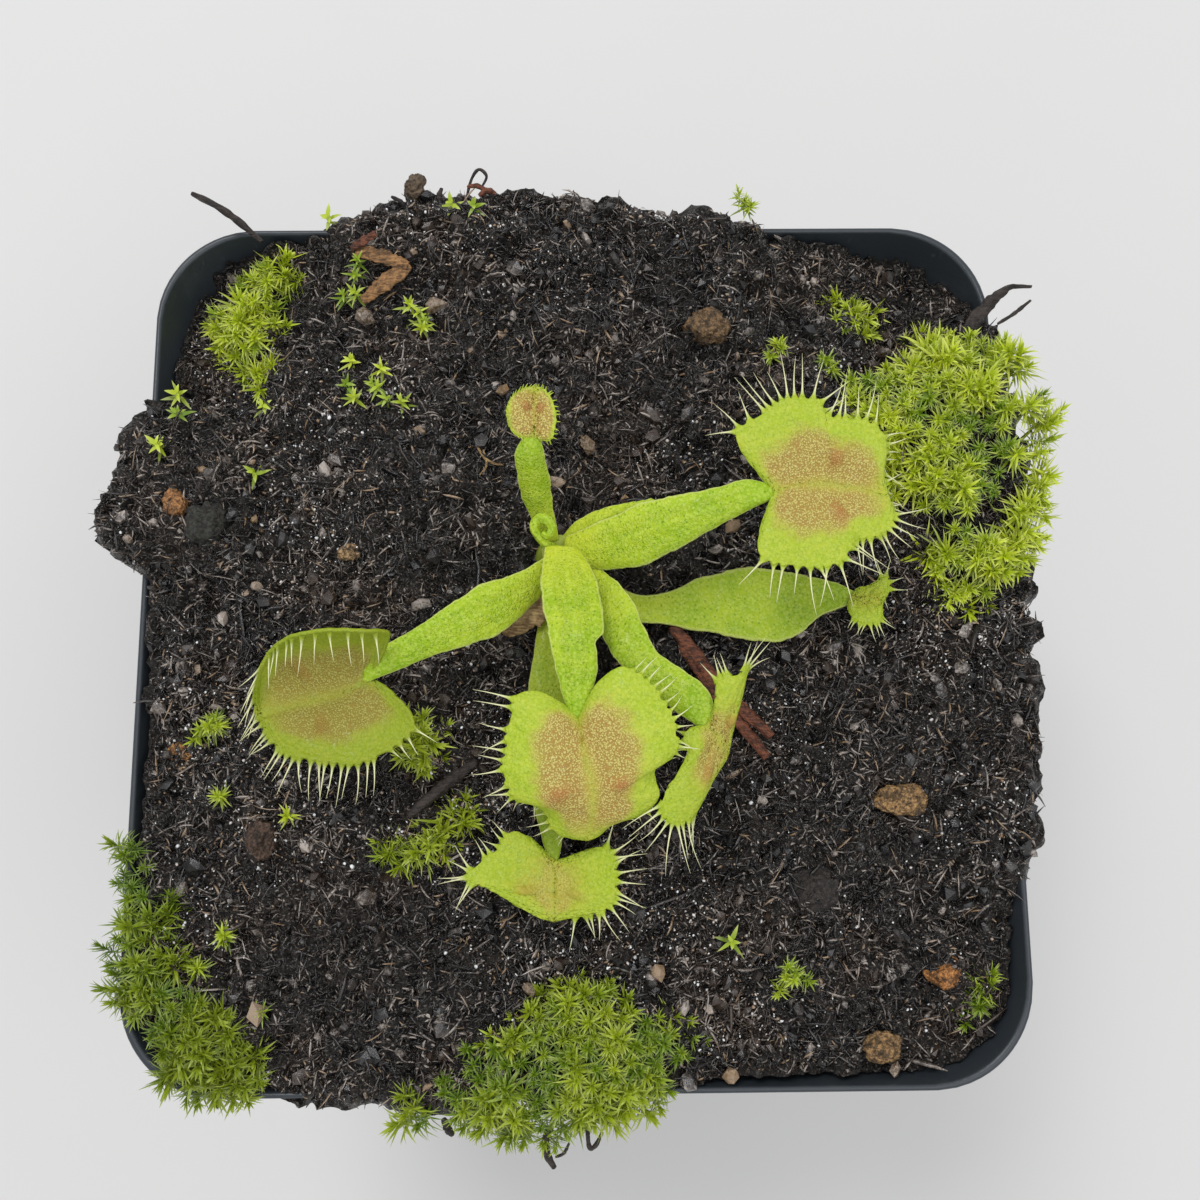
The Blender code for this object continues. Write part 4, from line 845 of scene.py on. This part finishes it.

# ------------------------------------------------------------------ moss
# Star moss has seeded itself over the peat: upright shoots two or three millimetres across,
# each a rosette of narrow pointed leaflets. They stand packed in domed cushions and in single
# tufts. The upper leaflets of each shoot and the tips of all leaflets carry painted highlight,
# the low leaflets painted shade. The older leaflets curl.

# For each cushion: thickness, how far its colour keeps from dark green, how closely it covers the soil,
# brightness and outline.
MOSS_CUSHIONS = {
    "moss_north_west": (3.2, 0.95, 0.4, 0.5, [
        (-37.0, 34.1), (-34.9, 36.6), (-30.6, 37.2), (-27.2, 37.6), (-27.3, 34.1), (-29.8, 28.9),
        (-30.4, 24.3), (-33.2, 26.9), (-36.6, 29.4)]),
    "moss_south_west": (3.0, 0.1, 0.9, 0.28, [
        (-39.7, -17.1), (-36.7, -18.9), (-36.1, -23.1), (-36.4, -26.4), (-33.3, -28.6),
        (-31.0, -32.6), (-28.2, -35.4), (-26.1, -38.4), (-29.5, -40.0), (-34.5, -38.6),
        (-39.0, -33.0), (-41.2, -28.1), (-41.6, -23.9), (-40.6, -20.4)]),
    "moss_south": (3.2, 0.4, 0.9, 0.28, [
        (-15.1, -39.7), (-11.7, -37.8), (-8.3, -35.0), (-3.6, -31.8), (-0.4, -29.6), (2.3, -30.4),
        (4.0, -32.6), (7.9, -32.9), (11.2, -36.0), (9.4, -39.2), (5.2, -41.2), (1.4, -42.6),
        (-2.0, -43.8), (-5.4, -42.6), (-10.8, -41.8), (-15.0, -41.3)]),
    "moss_east": (3.4, 1.0, 0.4, 0.5, [
        (25.4, 24.4), (30.2, 26.8), (33.1, 29.2), (37.4, 29.6), (41.3, 27.2), (44.0, 23.8),
        (44.9, 20.4), (43.6, 17.1), (44.0, 14.3), (43.0, 10.1), (41.2, 5.6), (40.4, 2.4),
        (37.0, 2.4), (33.9, 1.8), (31.9, 4.0), (31.4, 7.9), (29.5, 13.4), (27.8, 17.2),
        (25.3, 21.0)]),
    "moss_north_east": (2.0, 0.8, 0.4, 0.5, [
        (20.0, 31.4), (22.4, 32.9), (26.2, 33.2), (29.5, 32.4), (29.2, 30.6), (25.6, 29.6),
        (21.4, 29.4)]),
    "moss_middle": (2.6, 0.5, 0.4, 0.5, [
        (-14.9, -7.9), (-12.8, -5.6), (-11.2, -7.4), (-10.8, -10.0), (-12.0, -12.2),
        (-14.6, -13.0), (-16.6, -11.4)]),
    "moss_middle_low": (2.2, 0.5, 0.4, 0.5, [
        (-12.4, -17.8), (-9.4, -14.8), (-8.8, -16.6), (-11.4, -19.4), (-14.8, -21.0),
        (-17.2, -20.4), (-16.8, -17.6), (-15.4, -17.4)]),
    "moss_south_east": (2.2, 0.7, 0.9, 0.28, [
        (34.7, -33.4), (37.6, -31.4), (39.6, -31.7), (39.2, -33.8), (36.4, -36.0), (33.6, -37.4),
        (33.0, -35.8)]),
}
# Spots where the soil shows through: place and radius.
MOSS_GAPS = {"moss_east": [(40.4, 22.2, 2.1), (40.9, 17.6, 2.2), (40.2, 13.4, 1.8), (37.7, 9.6, 1.8),
                           (32.0, 8.4, 1.8)]}
MOSS_TUFTS = [
    (-23.2, 39.8, 0.8), (-9.3, 40.0, 0.8), (16.5, 41.0, 1.6), (-20.4, 34.8, 1.2),
    (-14.4, 29.2, 1.6), (-18.2, 22.7, 1.2), (-29.1, 14.7, 0.8), (-37.2, 23.0, 0.9),
    (-38.3, 17.6, 0.8), (19.4, 26.7, 1.8), (24.6, 26.2, 1.6), (-32.9, -8.0, 2.2),
    (-31.1, -14.2, 1.4), (-30.6, -26.1, 1.4), (13.2, -27.0, 0.8), (18.5, -29.9, 2.0)]
# Some tufts are stars of a few broad leaflets: how many, how wide and how upright inside.
MOSS_STARS = {1: (8, 0.12, 25), 2: (8, 0.12, 25), 4: (12, 0.08, 50), 5: (12, 0.08, 50), 6: (10, 0.09, 45),
              7: (7, 0.12, 30), 8: (9, 0.12, 30), 9: (10, 0.11, 40), 15: (7, 0.10, 30)}
# Single shoots that stand near a tuft and count as part of it.
MOSS_STRAYS = {2: [(-11.4, 40.1)], 4: [(-21.9, 32.6), (-20.5, 32.3)], 5: [(-15.3, 30.7)],
               6: [(-17.8, 24.5), (-17.2, 21.5), (-15.8, 21.1), (-20.3, 21.9), (-21.1, 23.3), (-20.9, 25.9)],
               8: [(-36.9, 20.9), (-29.6, 22.4)], 13: [(-25.1, -16.0)], 14: [(-33.0, -29.0), (-27.3, -32.7)]}


def within(places, outline):
    """Whether each place is inside the outline, and how far it is from it."""
    start = np.asarray(outline, float)[None]
    end = np.roll(start, -1, 1)
    x, y = places[:, :1], places[:, 1:]
    crosses = (start[..., 1] > y) != (end[..., 1] > y)
    slope = (end[..., 0] - start[..., 0]) * (y - start[..., 1]) / (end[..., 1] - start[..., 1] + 1e-9)
    inside = (crosses & (x < start[..., 0] + slope)).sum(1) % 2 == 1
    side = end - start
    share = np.clip(((places[:, None] - start) * side).sum(-1) / (side ** 2).sum(-1), 0, 1)
    away = np.linalg.norm(places[:, None] - start - share[..., None] * side, axis=-1).min(1)
    return inside, away


GOLDEN_ANGLE = 2.39996  # the turn from one leaflet to the next, which keeps them from lining up

def moss_shoots(base, lean, size, tone, leaflets=42, half_width=0.044, steep=68):
    """Rosettes: leaflets leave the stem by the golden angle, steep at the top and flat below.

    Each leaflet is a narrow blade of five triangles that droops by the square of its length.
    """
    count = len(base)
    order = np.arange(leaflets)
    share = order / (leaflets - 1)
    spin = (order * GOLDEN_ANGLE + chance.uniform(0, 2 * math.pi, (count, 1))
            + chance.normal(0, 0.2, (count, leaflets)))
    climb = np.radians(8 + steep * share ** 1.5) + chance.normal(0, 0.2, (count, leaflets))
    length = (1.0 - 0.4 * share) * chance.uniform(0.65, 1.2, (count, leaflets))
    foot = np.stack([0 * share, 0 * share, 0.8 * share - 0.75], -1)
    way = np.stack([np.cos(spin) * np.cos(climb), np.sin(spin) * np.cos(climb), np.sin(climb)], -1)
    flat = np.stack([-np.sin(spin), np.cos(spin), 0 * spin], -1)
    flat = unit(flat + way[..., ::-1] * chance.normal(0, 0.3, (count, leaflets, 1)))
    droop = chance.normal(0.28, 0.18, (count, leaflets))
    half = half_width * chance.uniform(0.8, 1.25, (count, leaflets))
    rows = []
    for t, width in ((0.0, 0.6), (0.3, 1.0), (0.68, 0.62), (1.0, 0.0)):
        middle = (foot + way * (t * length)[..., None]
                  - np.array([0, 0, 1.0]) * (droop * length * t * t)[..., None])
        rows += [middle + flat * (half * width)[..., None], middle - flat * (half * width)[..., None]]
    points = np.stack(rows[:7], 2)
    axis = unit(lean + np.array([0.0, 0.0, 1.0]))
    first = unit(np.cross(axis, [0.3, 1.0, 0.1]))
    turn = np.stack([first, np.cross(axis, first), axis], -1)
    points = np.einsum("nij,nlpj->nlpi", turn, points) * size[:, None, None, None]
    points = points + base[:, None, None]
    step = 7 * np.arange(count * leaflets)[:, None, None]
    quads = np.array([(0, 1, 3, 2), (2, 3, 5, 4)])[None] + step
    ends = np.array([(4, 5, 6)])[None] + step
    out = np.broadcast_to(np.array([0.0, 0.0, 0.3, 0.3, 0.68, 0.68, 1.0]), points.shape[:3])
    tone = np.broadcast_to(tone[:, None, None], points.shape[:3])
    high = np.broadcast_to(share[None, :, None], points.shape[:3])
    return (points.reshape(-1, 3), [quads.reshape(-1, 4), ends.reshape(-1, 3)],
            out.ravel(), tone.ravel(), high.ravel())


moss = Finish("star_moss", Specular_IOR_Level=0.5)
leaflet_out, tone, high, lush = (moss.mark(m) for m in ("leaflet_out", "tone", "high", "lush"))
moss_colour = moss.blend(tone, (0.13, 0.25, 0.006), (0.50, 0.58, 0.018))
# Painted highlight: the upper leaflets of each shoot are lightened, more on shoots of higher tone.
moss_colour = moss.blend(high.ramp(0.2, 1.0) * (0.25 + tone * 0.5), moss_colour, (0.54, 0.66, 0.03))
# Painted highlight: the outer part of every leaflet turns pale.
moss_colour = moss.blend(leaflet_out.ramp(0.45, 1.0) * 0.4, moss_colour, (0.80, 0.80, 0.34))
# Painted shade: the low leaflets, down in the cushion, are darkened.
moss_colour = moss.blend((1.0 - high.ramp(0.0, 0.4)) * 0.5, moss_colour, (0.05, 0.10, 0.004))
# Cushions with a low value here are blended towards a dark green.
moss_colour = moss.blend((1.0 - lush) * 0.6, moss_colour, (0.07, 0.13, 0.008))
moss_material = moss.finish(Base_Color=moss_colour, Roughness=0.3 + moss.noise(0.8) * 0.25,
                            bump=(moss.noise(0.2, 2.0), 0.4, 0.05))


def plant_moss(name, places, height, lean, size, tone, lush, *leaflets):
    """One clump of moss shoots on the soil, hanging over the rim or kept inside it."""
    base = np.c_[places, soil_height(places[:, 0], places[:, 1]) + height]
    angle, reach = np.arctan2(places[:, 1], places[:, 0]), np.hypot(*places.T)
    inner = edge_reach(angle, RIM_HALF - WALL - 1.8)
    sunk = (name in ("moss_south_east", "moss_north_west")) & (soil_level(angle) < -0.3) & (reach > inner)
    base[:, :2] *= np.where(sunk, inner / reach, 1.0)[:, None]
    base[:, 2] = np.where(~sunk & (reach > inner), np.maximum(base[:, 2], 1.6), base[:, 2])
    points, faces, out, tone, high = moss_shoots(base, lean, size, tone, *leaflets)
    make_piece(name + "_shoots", points, faces, moss_material, [name], "moss", leaflet_out=out,
               tone=tone, high=high, lush=np.full(len(points), lush))


for name, (thick, lush, cover, bright, outline) in MOSS_CUSHIONS.items():
    low, far = np.min(outline, 0) - 1, np.max(outline, 0) + 1
    across, deep = np.meshgrid(np.arange(low[0], far[0], 1.3), np.arange(low[1], far[1], 1.3))
    across[::2] += 0.65
    places = np.stack([across.ravel(), deep.ravel()], -1) + chance.normal(0, 0.33, (across.size, 2))
    inside, away = within(places, outline)
    away = np.where(inside, away, -away)
    patchy = rough(places[:, 0] * 0.32, places[:, 1] * 0.32, 4.0)
    keep = (away > -0.7) & (chance.random(len(places)) < cover + 0.4 * away + 1.6 * patchy)
    for x, y, bare in MOSS_GAPS.get(name, []):
        keep &= np.hypot(places[:, 0] - x, places[:, 1] - y) > bare
    places, away, patchy = places[keep], np.maximum(away[keep], 0), patchy[keep]
    middle = places.mean(0)
    dome = thick * np.sqrt(np.clip(away / 4.5, 0.03, 1.0)) * (1 + 0.3 * patchy)
    lean = np.c_[unit(places - middle) * (0.9 * np.exp(-away / 1.8))[:, None], np.zeros(len(places))]
    lean += chance.normal(0, 0.2, lean.shape) * (1, 1, 0)
    size = chance.uniform(1.5, 2.6, len(places)) * (1 + 0.5 * patchy)
    # Tone adds the cushion's brightness, a random spread and the patchy noise that also raises the dome and
    # the shoot size, so lower shoots carry painted shade and taller ones painted light.
    tone = np.clip(bright + 0.8 * patchy + chance.normal(0, 0.25, len(places)), 0, 1)
    plant_moss(name, places, dome - 0.1, lean, size, tone, lush)
for number, (x, y, radius) in enumerate(MOSS_TUFTS, 1):
    count = max(1, int(radius ** 2 * 1.5))
    spread = chance.normal(0, 0.36 * radius, (count, 2)) * (count > 1)
    places = np.concatenate([spread + (x, y)] + [[stray] for stray in MOSS_STRAYS.get(number, [])])
    lean = np.concatenate([np.c_[spread * 0.4, np.zeros(count)], np.zeros((len(places) - count, 3))])
    plant_moss("moss_tuft_%d" % number, places, chance.uniform(1.2, 1.9, len(places)), lean,
               chance.uniform(1.4, 1.9, len(places)), chance.random(len(places)), 0.8,
               *MOSS_STARS.get(number, (24, 0.06)))

# ------------------------------------------------------------------ grit
# Pieces of coarse grit from the potting mix, tan, orange or nearly black, with a pitted broken
# surface. Each lies a third bedded in the peat.

STONE_TINTS = [(0.20, 0.12, 0.055), (0.34, 0.20, 0.08), (0.46, 0.20, 0.06), (0.32, 0.19, 0.08),
               (0.42, 0.27, 0.13), (0.36, 0.17, 0.06), (0.10, 0.060, 0.04), (0.50, 0.24, 0.08),
               (0.035, 0.028, 0.024), (0.034, 0.035, 0.028)]


def stone_surface(box, seed, rows=40, columns=60):
    """A ball scaled to its box, knocked into facets by folded noise at three sizes."""
    low, far = (np.array(corner) / MM - (0, 0, RIM_Z) for corner in box)
    down = np.linspace(0, math.pi, rows)[:, None]
    turn = np.arange(columns)[None] * 2 * math.pi / columns
    ball = np.stack([np.sin(down) * np.cos(turn), np.sin(down) * np.sin(turn), np.cos(down) + 0 * turn], -1)
    a, b, c = np.moveaxis(ball, -1, 0)
    size = 1 + 0.26 * rough(a * 1.6 + seed * 7, b * 1.6, c * 1.6 + 9) - 0.22 * np.abs(
        rough(a * 3.5 + seed, b * 3.5 + 5, c * 3.5 + 20)) + 0.10 * rough(a * 8, b * 8 + seed, c * 8 + 30)
    return (low + far) / 2 + ball * (far - low) / 2 * size[..., None]


for number, tint in enumerate(STONE_TINTS, 1):
    grit = Finish("grit_%d" % number, Specular_IOR_Level=0.5)
    grain = grit.noise(0.32, 4.0, 0.75)
    dirt = grit.noise(0.9, 4.0, 0.75).ramp(0.46, 0.60)
    grit_colour = grit.blend(grain.ramp(0.36, 0.64), tuple(0.3 * c for c in tint),
                             tuple(min(1.0, 1.6 * c) for c in tint))
    grit_colour = grit.blend(dirt * 0.75, grit_colour, (0.016, 0.011, 0.008))
    grit_material = grit.finish(Base_Color=grit_colour, Roughness=0.5 + dirt * 0.25,
                                bump=(grain + grit.cells(0.35) * 0.4, 1.0, 0.3))
    stone = stone_surface(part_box("stone_%d" % number), number)
    make_piece("stone_%d_rough" % number, stone.reshape(-1, 3), grid_faces(*stone.shape[:2], True),
               grit_material, ["stone_%d" % number], "grit")

# ------------------------------------------------------------------ bark, twigs and dead leaves
# Litter lying on the peat: strips of reddish bark with a split grain, two dark bent twigs, a
# withered tan leaf base beside the crown and a curled black scrap of leaf over the rim.


def path_frame(points, rows):
    """An even curve through the points, with its level and its raised cross direction."""
    centre = even_curve(points, rows)
    ahead = unit(np.gradient(centre, axis=0))
    sideways = unit(np.cross([0.0, 0.0, 1.0], ahead))
    return centre, sideways, np.cross(ahead, sideways)

def strip_surface(points, width, curl, taper, rows=60, columns=17):
    """A ribbon along a curve, narrow at both ends, curled across and frayed along its edges.

    A taper near one makes its far end run out to a point.
    """
    centre, sideways, upward = path_frame(points, rows)
    along, across = np.linspace(0, 1, rows)[:, None], np.linspace(-1, 1, columns)[None]
    fray = 1 + 0.25 * rough(along * 22, across * 2 + width, 3.0) * np.abs(across)
    half = (width / 2 * (0.3 + 0.7 * np.sin(math.pi * (0.06 + 0.88 * along)) ** 0.7)
            * fray * (1 - taper * along))
    lift = curl * width * (1 - across ** 2) + 0.08 * rough(along * 9, across * 3 + 4)
    return (centre[:, None] + sideways[:, None] * (half * across)[..., None]
            + upward[:, None] * lift[..., None])


def twig_surface(points, thick, columns=14, rows=70):
    """A tube along a curve, thinner at its ends, with knots and a ridged bark."""
    centre, sideways, upward = path_frame(points, rows)
    along, turn = np.linspace(0, 1, rows)[:, None], np.arange(columns)[None] * 2 * math.pi / columns
    size = thick * (0.35 + 0.65 * np.sin(math.pi * (0.04 + 0.92 * along)) ** 0.5)
    size = size * (1 + 0.16 * rough(along * 14, turn * 0 + 2) + 0.12 * np.cos(5 * turn + 6 * along))
    ring = sideways[:, None] * np.cos(turn)[..., None] + upward[:, None] * np.sin(turn)[..., None]
    return centre[:, None] + ring * size[..., None]


def along_soil(places, lift):
    """Places on the soil at a small height above it."""
    x, y = np.array(places, float).T
    return np.stack([x, y, soil_height(x, y) + lift], -1)


def wood_finish(name, dark, light, roughness):
    """Split, fibrous wood or bark: noise drawn out along its own length."""
    wood = Finish(name, Specular_IOR_Level=0.4)
    uneven = wood.noise(1.2, 5.0, 0.7)
    grain = wood.noise(0.22, 4.0, 0.7, wood.node("ShaderNodeMapping", None, {
        "Vector": wood.places, "Rotation": (0.0, 0.0, 0.85), "Scale": (0.15, 1.0, 1.0)}))
    return wood.finish(Base_Color=wood.blend((grain + uneven - 0.5).ramp(0.3, 0.75), dark, light),
                       Roughness=roughness + uneven * 0.2, bump=(grain + uneven * 0.5, 1.0, 0.2))


bark_red = wood_finish("red_bark", (0.035, 0.012, 0.007), (0.26, 0.085, 0.040), 0.45)
bark_tan = wood_finish("tan_bark", (0.06, 0.030, 0.012), (0.42, 0.22, 0.085), 0.5)
old_husk = wood_finish("old_husk", (0.03, 0.02, 0.012), (0.20, 0.14, 0.085), 0.5)
withered = wood_finish("withered_leaf", (0.16, 0.09, 0.035), (0.55, 0.38, 0.17), 0.45)
dark_wood = wood_finish("dark_wet_wood", (0.010, 0.008, 0.007), (0.055, 0.040, 0.034), 0.35)

dead_path = [(-2.0, 3.4, 5.6), (-3.4, 1.7, 6.0), (-5.0, 0.5, 5.6), (-6.4, 0.0, 4.8)]
scrap_path = [(37.4, 28.6, 0.7), (39.4, 31.3, 1.3), (41.3, 32.8, 1.7), (42.2, 32.9, 1.9), (43.5, 32.8, 2.0)]
for number, (node, slot, material, points, width, curl, taper, thick) in enumerate((
        ("dead_leaf", "dead_leaf", withered, dead_path, 2.6, 0.1, 0.0, 0.2),
        ("bark_strip", "bark", bark_red,
         along_soil([(8.6, 0.2), (12.6, -5.2), (17.0, -9.6)], 1.3), 1.2, 0.2, 0.3, 0.45),
        ("bark_strip", "bark", bark_red,
         along_soil([(9.4, -1.6), (13.0, -6.7), (16.6, -11.4)], 1.1), 1.1, 0.2, 0.3, 0.45),
        ("bark_chip", "bark", bark_tan,
         along_soil([(-20.3, 36.1), (-18.0, 35.3), (-15.4, 34.3)], 1.3), 1.3, 0.1, 0.0, 0.3),
        ("bark_chip", "bark", bark_tan,
         along_soil([(-15.3, 34.5), (-17.2, 33.0), (-19.8, 31.6)], 1.1), 1.7, 0.1, 0.3, 0.3),
        ("bark_chip", "bark", bark_red,
         along_soil([(-20.8, 36.3), (-19.4, 36.9), (-18.3, 37.3)], 1.6), 0.7, 0.2, 0.0, 0.3),
        ("leaf_scrap", "dead_twig", dark_wood, scrap_path, 1.9, 0.15, 0.95, 0.15))):
    strip_points, strip_faces = thick_sheet(strip_surface(points, width, curl, taper), thick)
    make_piece("%s_ribbon_%d" % (node, number), strip_points, strip_faces, material, [node], slot)
for number, (node, slot, material, points, thick) in enumerate((
        ("twig_corner", "dead_twig", dark_wood,
         [(-36.4, 42.6, 2.2), (-34.0, 41.2, 2.6), (-32.1, 40.0, 1.9), (-29.9, 38.2, 1.0)], 0.34),
        ("twig_middle", "dead_twig", dark_wood,
         along_soil([(-14.4, -16.1), (-11.8, -13.9), (-8.6, -11.5)], 1.2), 0.55),
        ("leaf_scrap", "dead_twig", dark_wood,
         [(40.2, 29.3, 1.6), (41.7, 30.2, 1.9), (43.3, 31.4, 2.2)], 0.18),
        ("soil", "soil", bark_red,
         [(-8.4, 40.8, 2.8), (-8.3, 42.0, 3.3), (-9.0, 42.5, 3.6), (-10.0, 42.6, 3.3)], 0.24),
        ("soil", "soil", dark_wood,
         [(-10.1, 41.8, 3.0), (-9.6, 43.4, 3.4), (-8.9, 44.2, 3.6), (-8.2, 43.6, 3.4), (-8.7, 42.6, 3.1)],
         0.15),
        ("soil", "soil", bark_red, [(-8.9, 41.6, 3.5), (-8.1, 42.1, 3.5), (-7.3, 41.9, 3.3)], 0.26),
        ("soil", "soil", dark_wood, [(-12.5, 40.6, 2.6), (-12.7, 41.7, 3.0), (-12.5, 42.6, 3.0)], 0.26),
        ("soil", "soil", dark_wood, [(-17.3, 42.0, 2.6), (-16.4, 41.4, 2.8), (-15.6, 40.6, 2.6)], 0.2),
        ("soil", "soil", dark_wood, [(-2.8, -42.6, 1.2), (-2.7, -44.4, 0.8), (-2.1, -45.7, 0.4)], 0.32),
        ("soil", "soil", dark_wood, [(-2.0, -44.8, 0.6), (-1.3, -44.5, 0.6), (-0.8, -43.6, 0.8)], 0.14),
        ("soil", "soil", dark_wood,
         [(0.7, -42.4, 1.0), (0.9, -44.0, 0.6), (1.4, -43.9, 0.6), (2.0, -42.8, 0.9)], 0.2),
        ("soil", "soil", dark_wood,
         [(-11.5, -41.5, 1.0), (-11.1, -42.4, 0.8), (-10.7, -42.9, 0.6)], 0.34),
        ("soil", "soil", withered,
         along_soil([(-8.9, 17.0), (-8.2, 15.9), (-7.4, 15.4), (-6.5, 15.2)], 0.5), 0.13),
        ("soil", "soil", withered, along_soil([(-8.3, 16.6), (-8.0, 15.2), (-8.6, 14.2)], 0.5), 0.1))):
    twig = twig_surface(points, thick)
    rows, columns = twig.shape[:2]
    make_piece("%s_twig_%d" % (node, number), twig.reshape(-1, 3),
               [grid_faces(rows, columns, True)] + end_caps(rows, columns), material, [node], slot)
seed = stone_surface(
    [np.array(c) * MM + (0, 0, RIM_Z * MM) for c in ((-16.2, 41.4, 1.8), (-14.0, 44.2, 3.8))], 14)
make_piece("soil_husk", seed.reshape(-1, 3), grid_faces(*seed.shape[:2], True), old_husk, ["soil"], "soil")

# ------------------------------------------------------------------ bud
# The newest leaf is still a tight curl of pale green beside the crown. It is one soft rod,
# rolled in on itself, with the same skin as the grown leaves.

bud_path = [(-1.5, 6.7, 7.2), (-2.2, 6.7, 8.0), (-3.0, 7.3, 8.7), (-3.4, 8.1, 9.1), (-3.0, 8.8, 9.4),
            (-2.2, 8.5, 9.5), (-1.9, 7.8, 9.4), (-2.3, 7.3, 9.2), (-2.7, 7.6, 9.1)]
bud_rows, bud_columns = 60, 18
bud = twig_surface(bud_path, 0.42, bud_columns, bud_rows)
bud_count = bud_rows * bud_columns
make_piece("leaf_bud_curl", bud.reshape(-1, 3),
           [grid_faces(bud_rows, bud_columns, True)] + end_caps(bud_rows, bud_columns), blade_material,
           ["leaf_bud"], "leaf", outward=np.full(bud_count, 0.8), toward_end=np.full(bud_count, 0.5))

# ------------------------------------------------------------------ floor, light and camera
# A pale, slightly warm floor under a soft window light and a broad fill, with an even bright
# sky around. It is seen from almost straight above.

floor_mesh = bpy.data.meshes.new("floor")
floor_mesh.from_pydata([(-3, -3, 0), (3, -3, 0), (3, 3, 0), (-3, 3, 0)], [], [(0, 1, 2, 3)])
floor = bpy.data.objects.new("floor", floor_mesh)
scene.collection.objects.link(floor)
paper = Finish("pale_floor", Roughness=0.85)
floor_mesh.materials.append(paper.finish(
    Base_Color=paper.blend(paper.noise(60.0, 2.0), (0.68, 0.68, 0.67), (0.71, 0.71, 0.70))))

sky = bpy.data.worlds.new("studio")
scene.world = sky
sky.use_nodes = True
sky.node_tree.nodes["Background"].inputs["Color"].default_value = (0.98, 0.985, 1.0, 1.0)
sky.node_tree.nodes["Background"].inputs["Strength"].default_value = 0.68


def add_light(name, place, aim, size, power):
    """A square soft light, turned to face a point."""
    lamp = bpy.data.lights.new(name, "AREA")
    lamp.size, lamp.energy = size, power
    holder = bpy.data.objects.new(name, lamp)
    holder.location = place
    holder.rotation_euler = (Vector(aim) - Vector(place)).to_track_quat("-Z", "Y").to_euler()
    scene.collection.objects.link(holder)


add_light("window", (-0.2, 0.35, 0.75), (0, 0, 0.07), 0.28, 2.3)
add_light("fill", (0.3, -0.2, 0.9), (0, 0, 0.07), 0.6, 2.0)

camera = bpy.data.cameras.new("camera")
camera.lens, camera.sensor_width, camera.clip_start = 36.0, 36.0, 0.01
viewer = bpy.data.objects.new("camera", camera)
viewer.location = (0.001, -0.01539, RIM_Z * MM + 0.10907)
viewer.rotation_euler = (math.radians(9.72), math.radians(-0.56), math.radians(-0.53))
scene.collection.objects.link(viewer)
scene.camera = viewer
scene.view_settings.view_transform = "Standard"
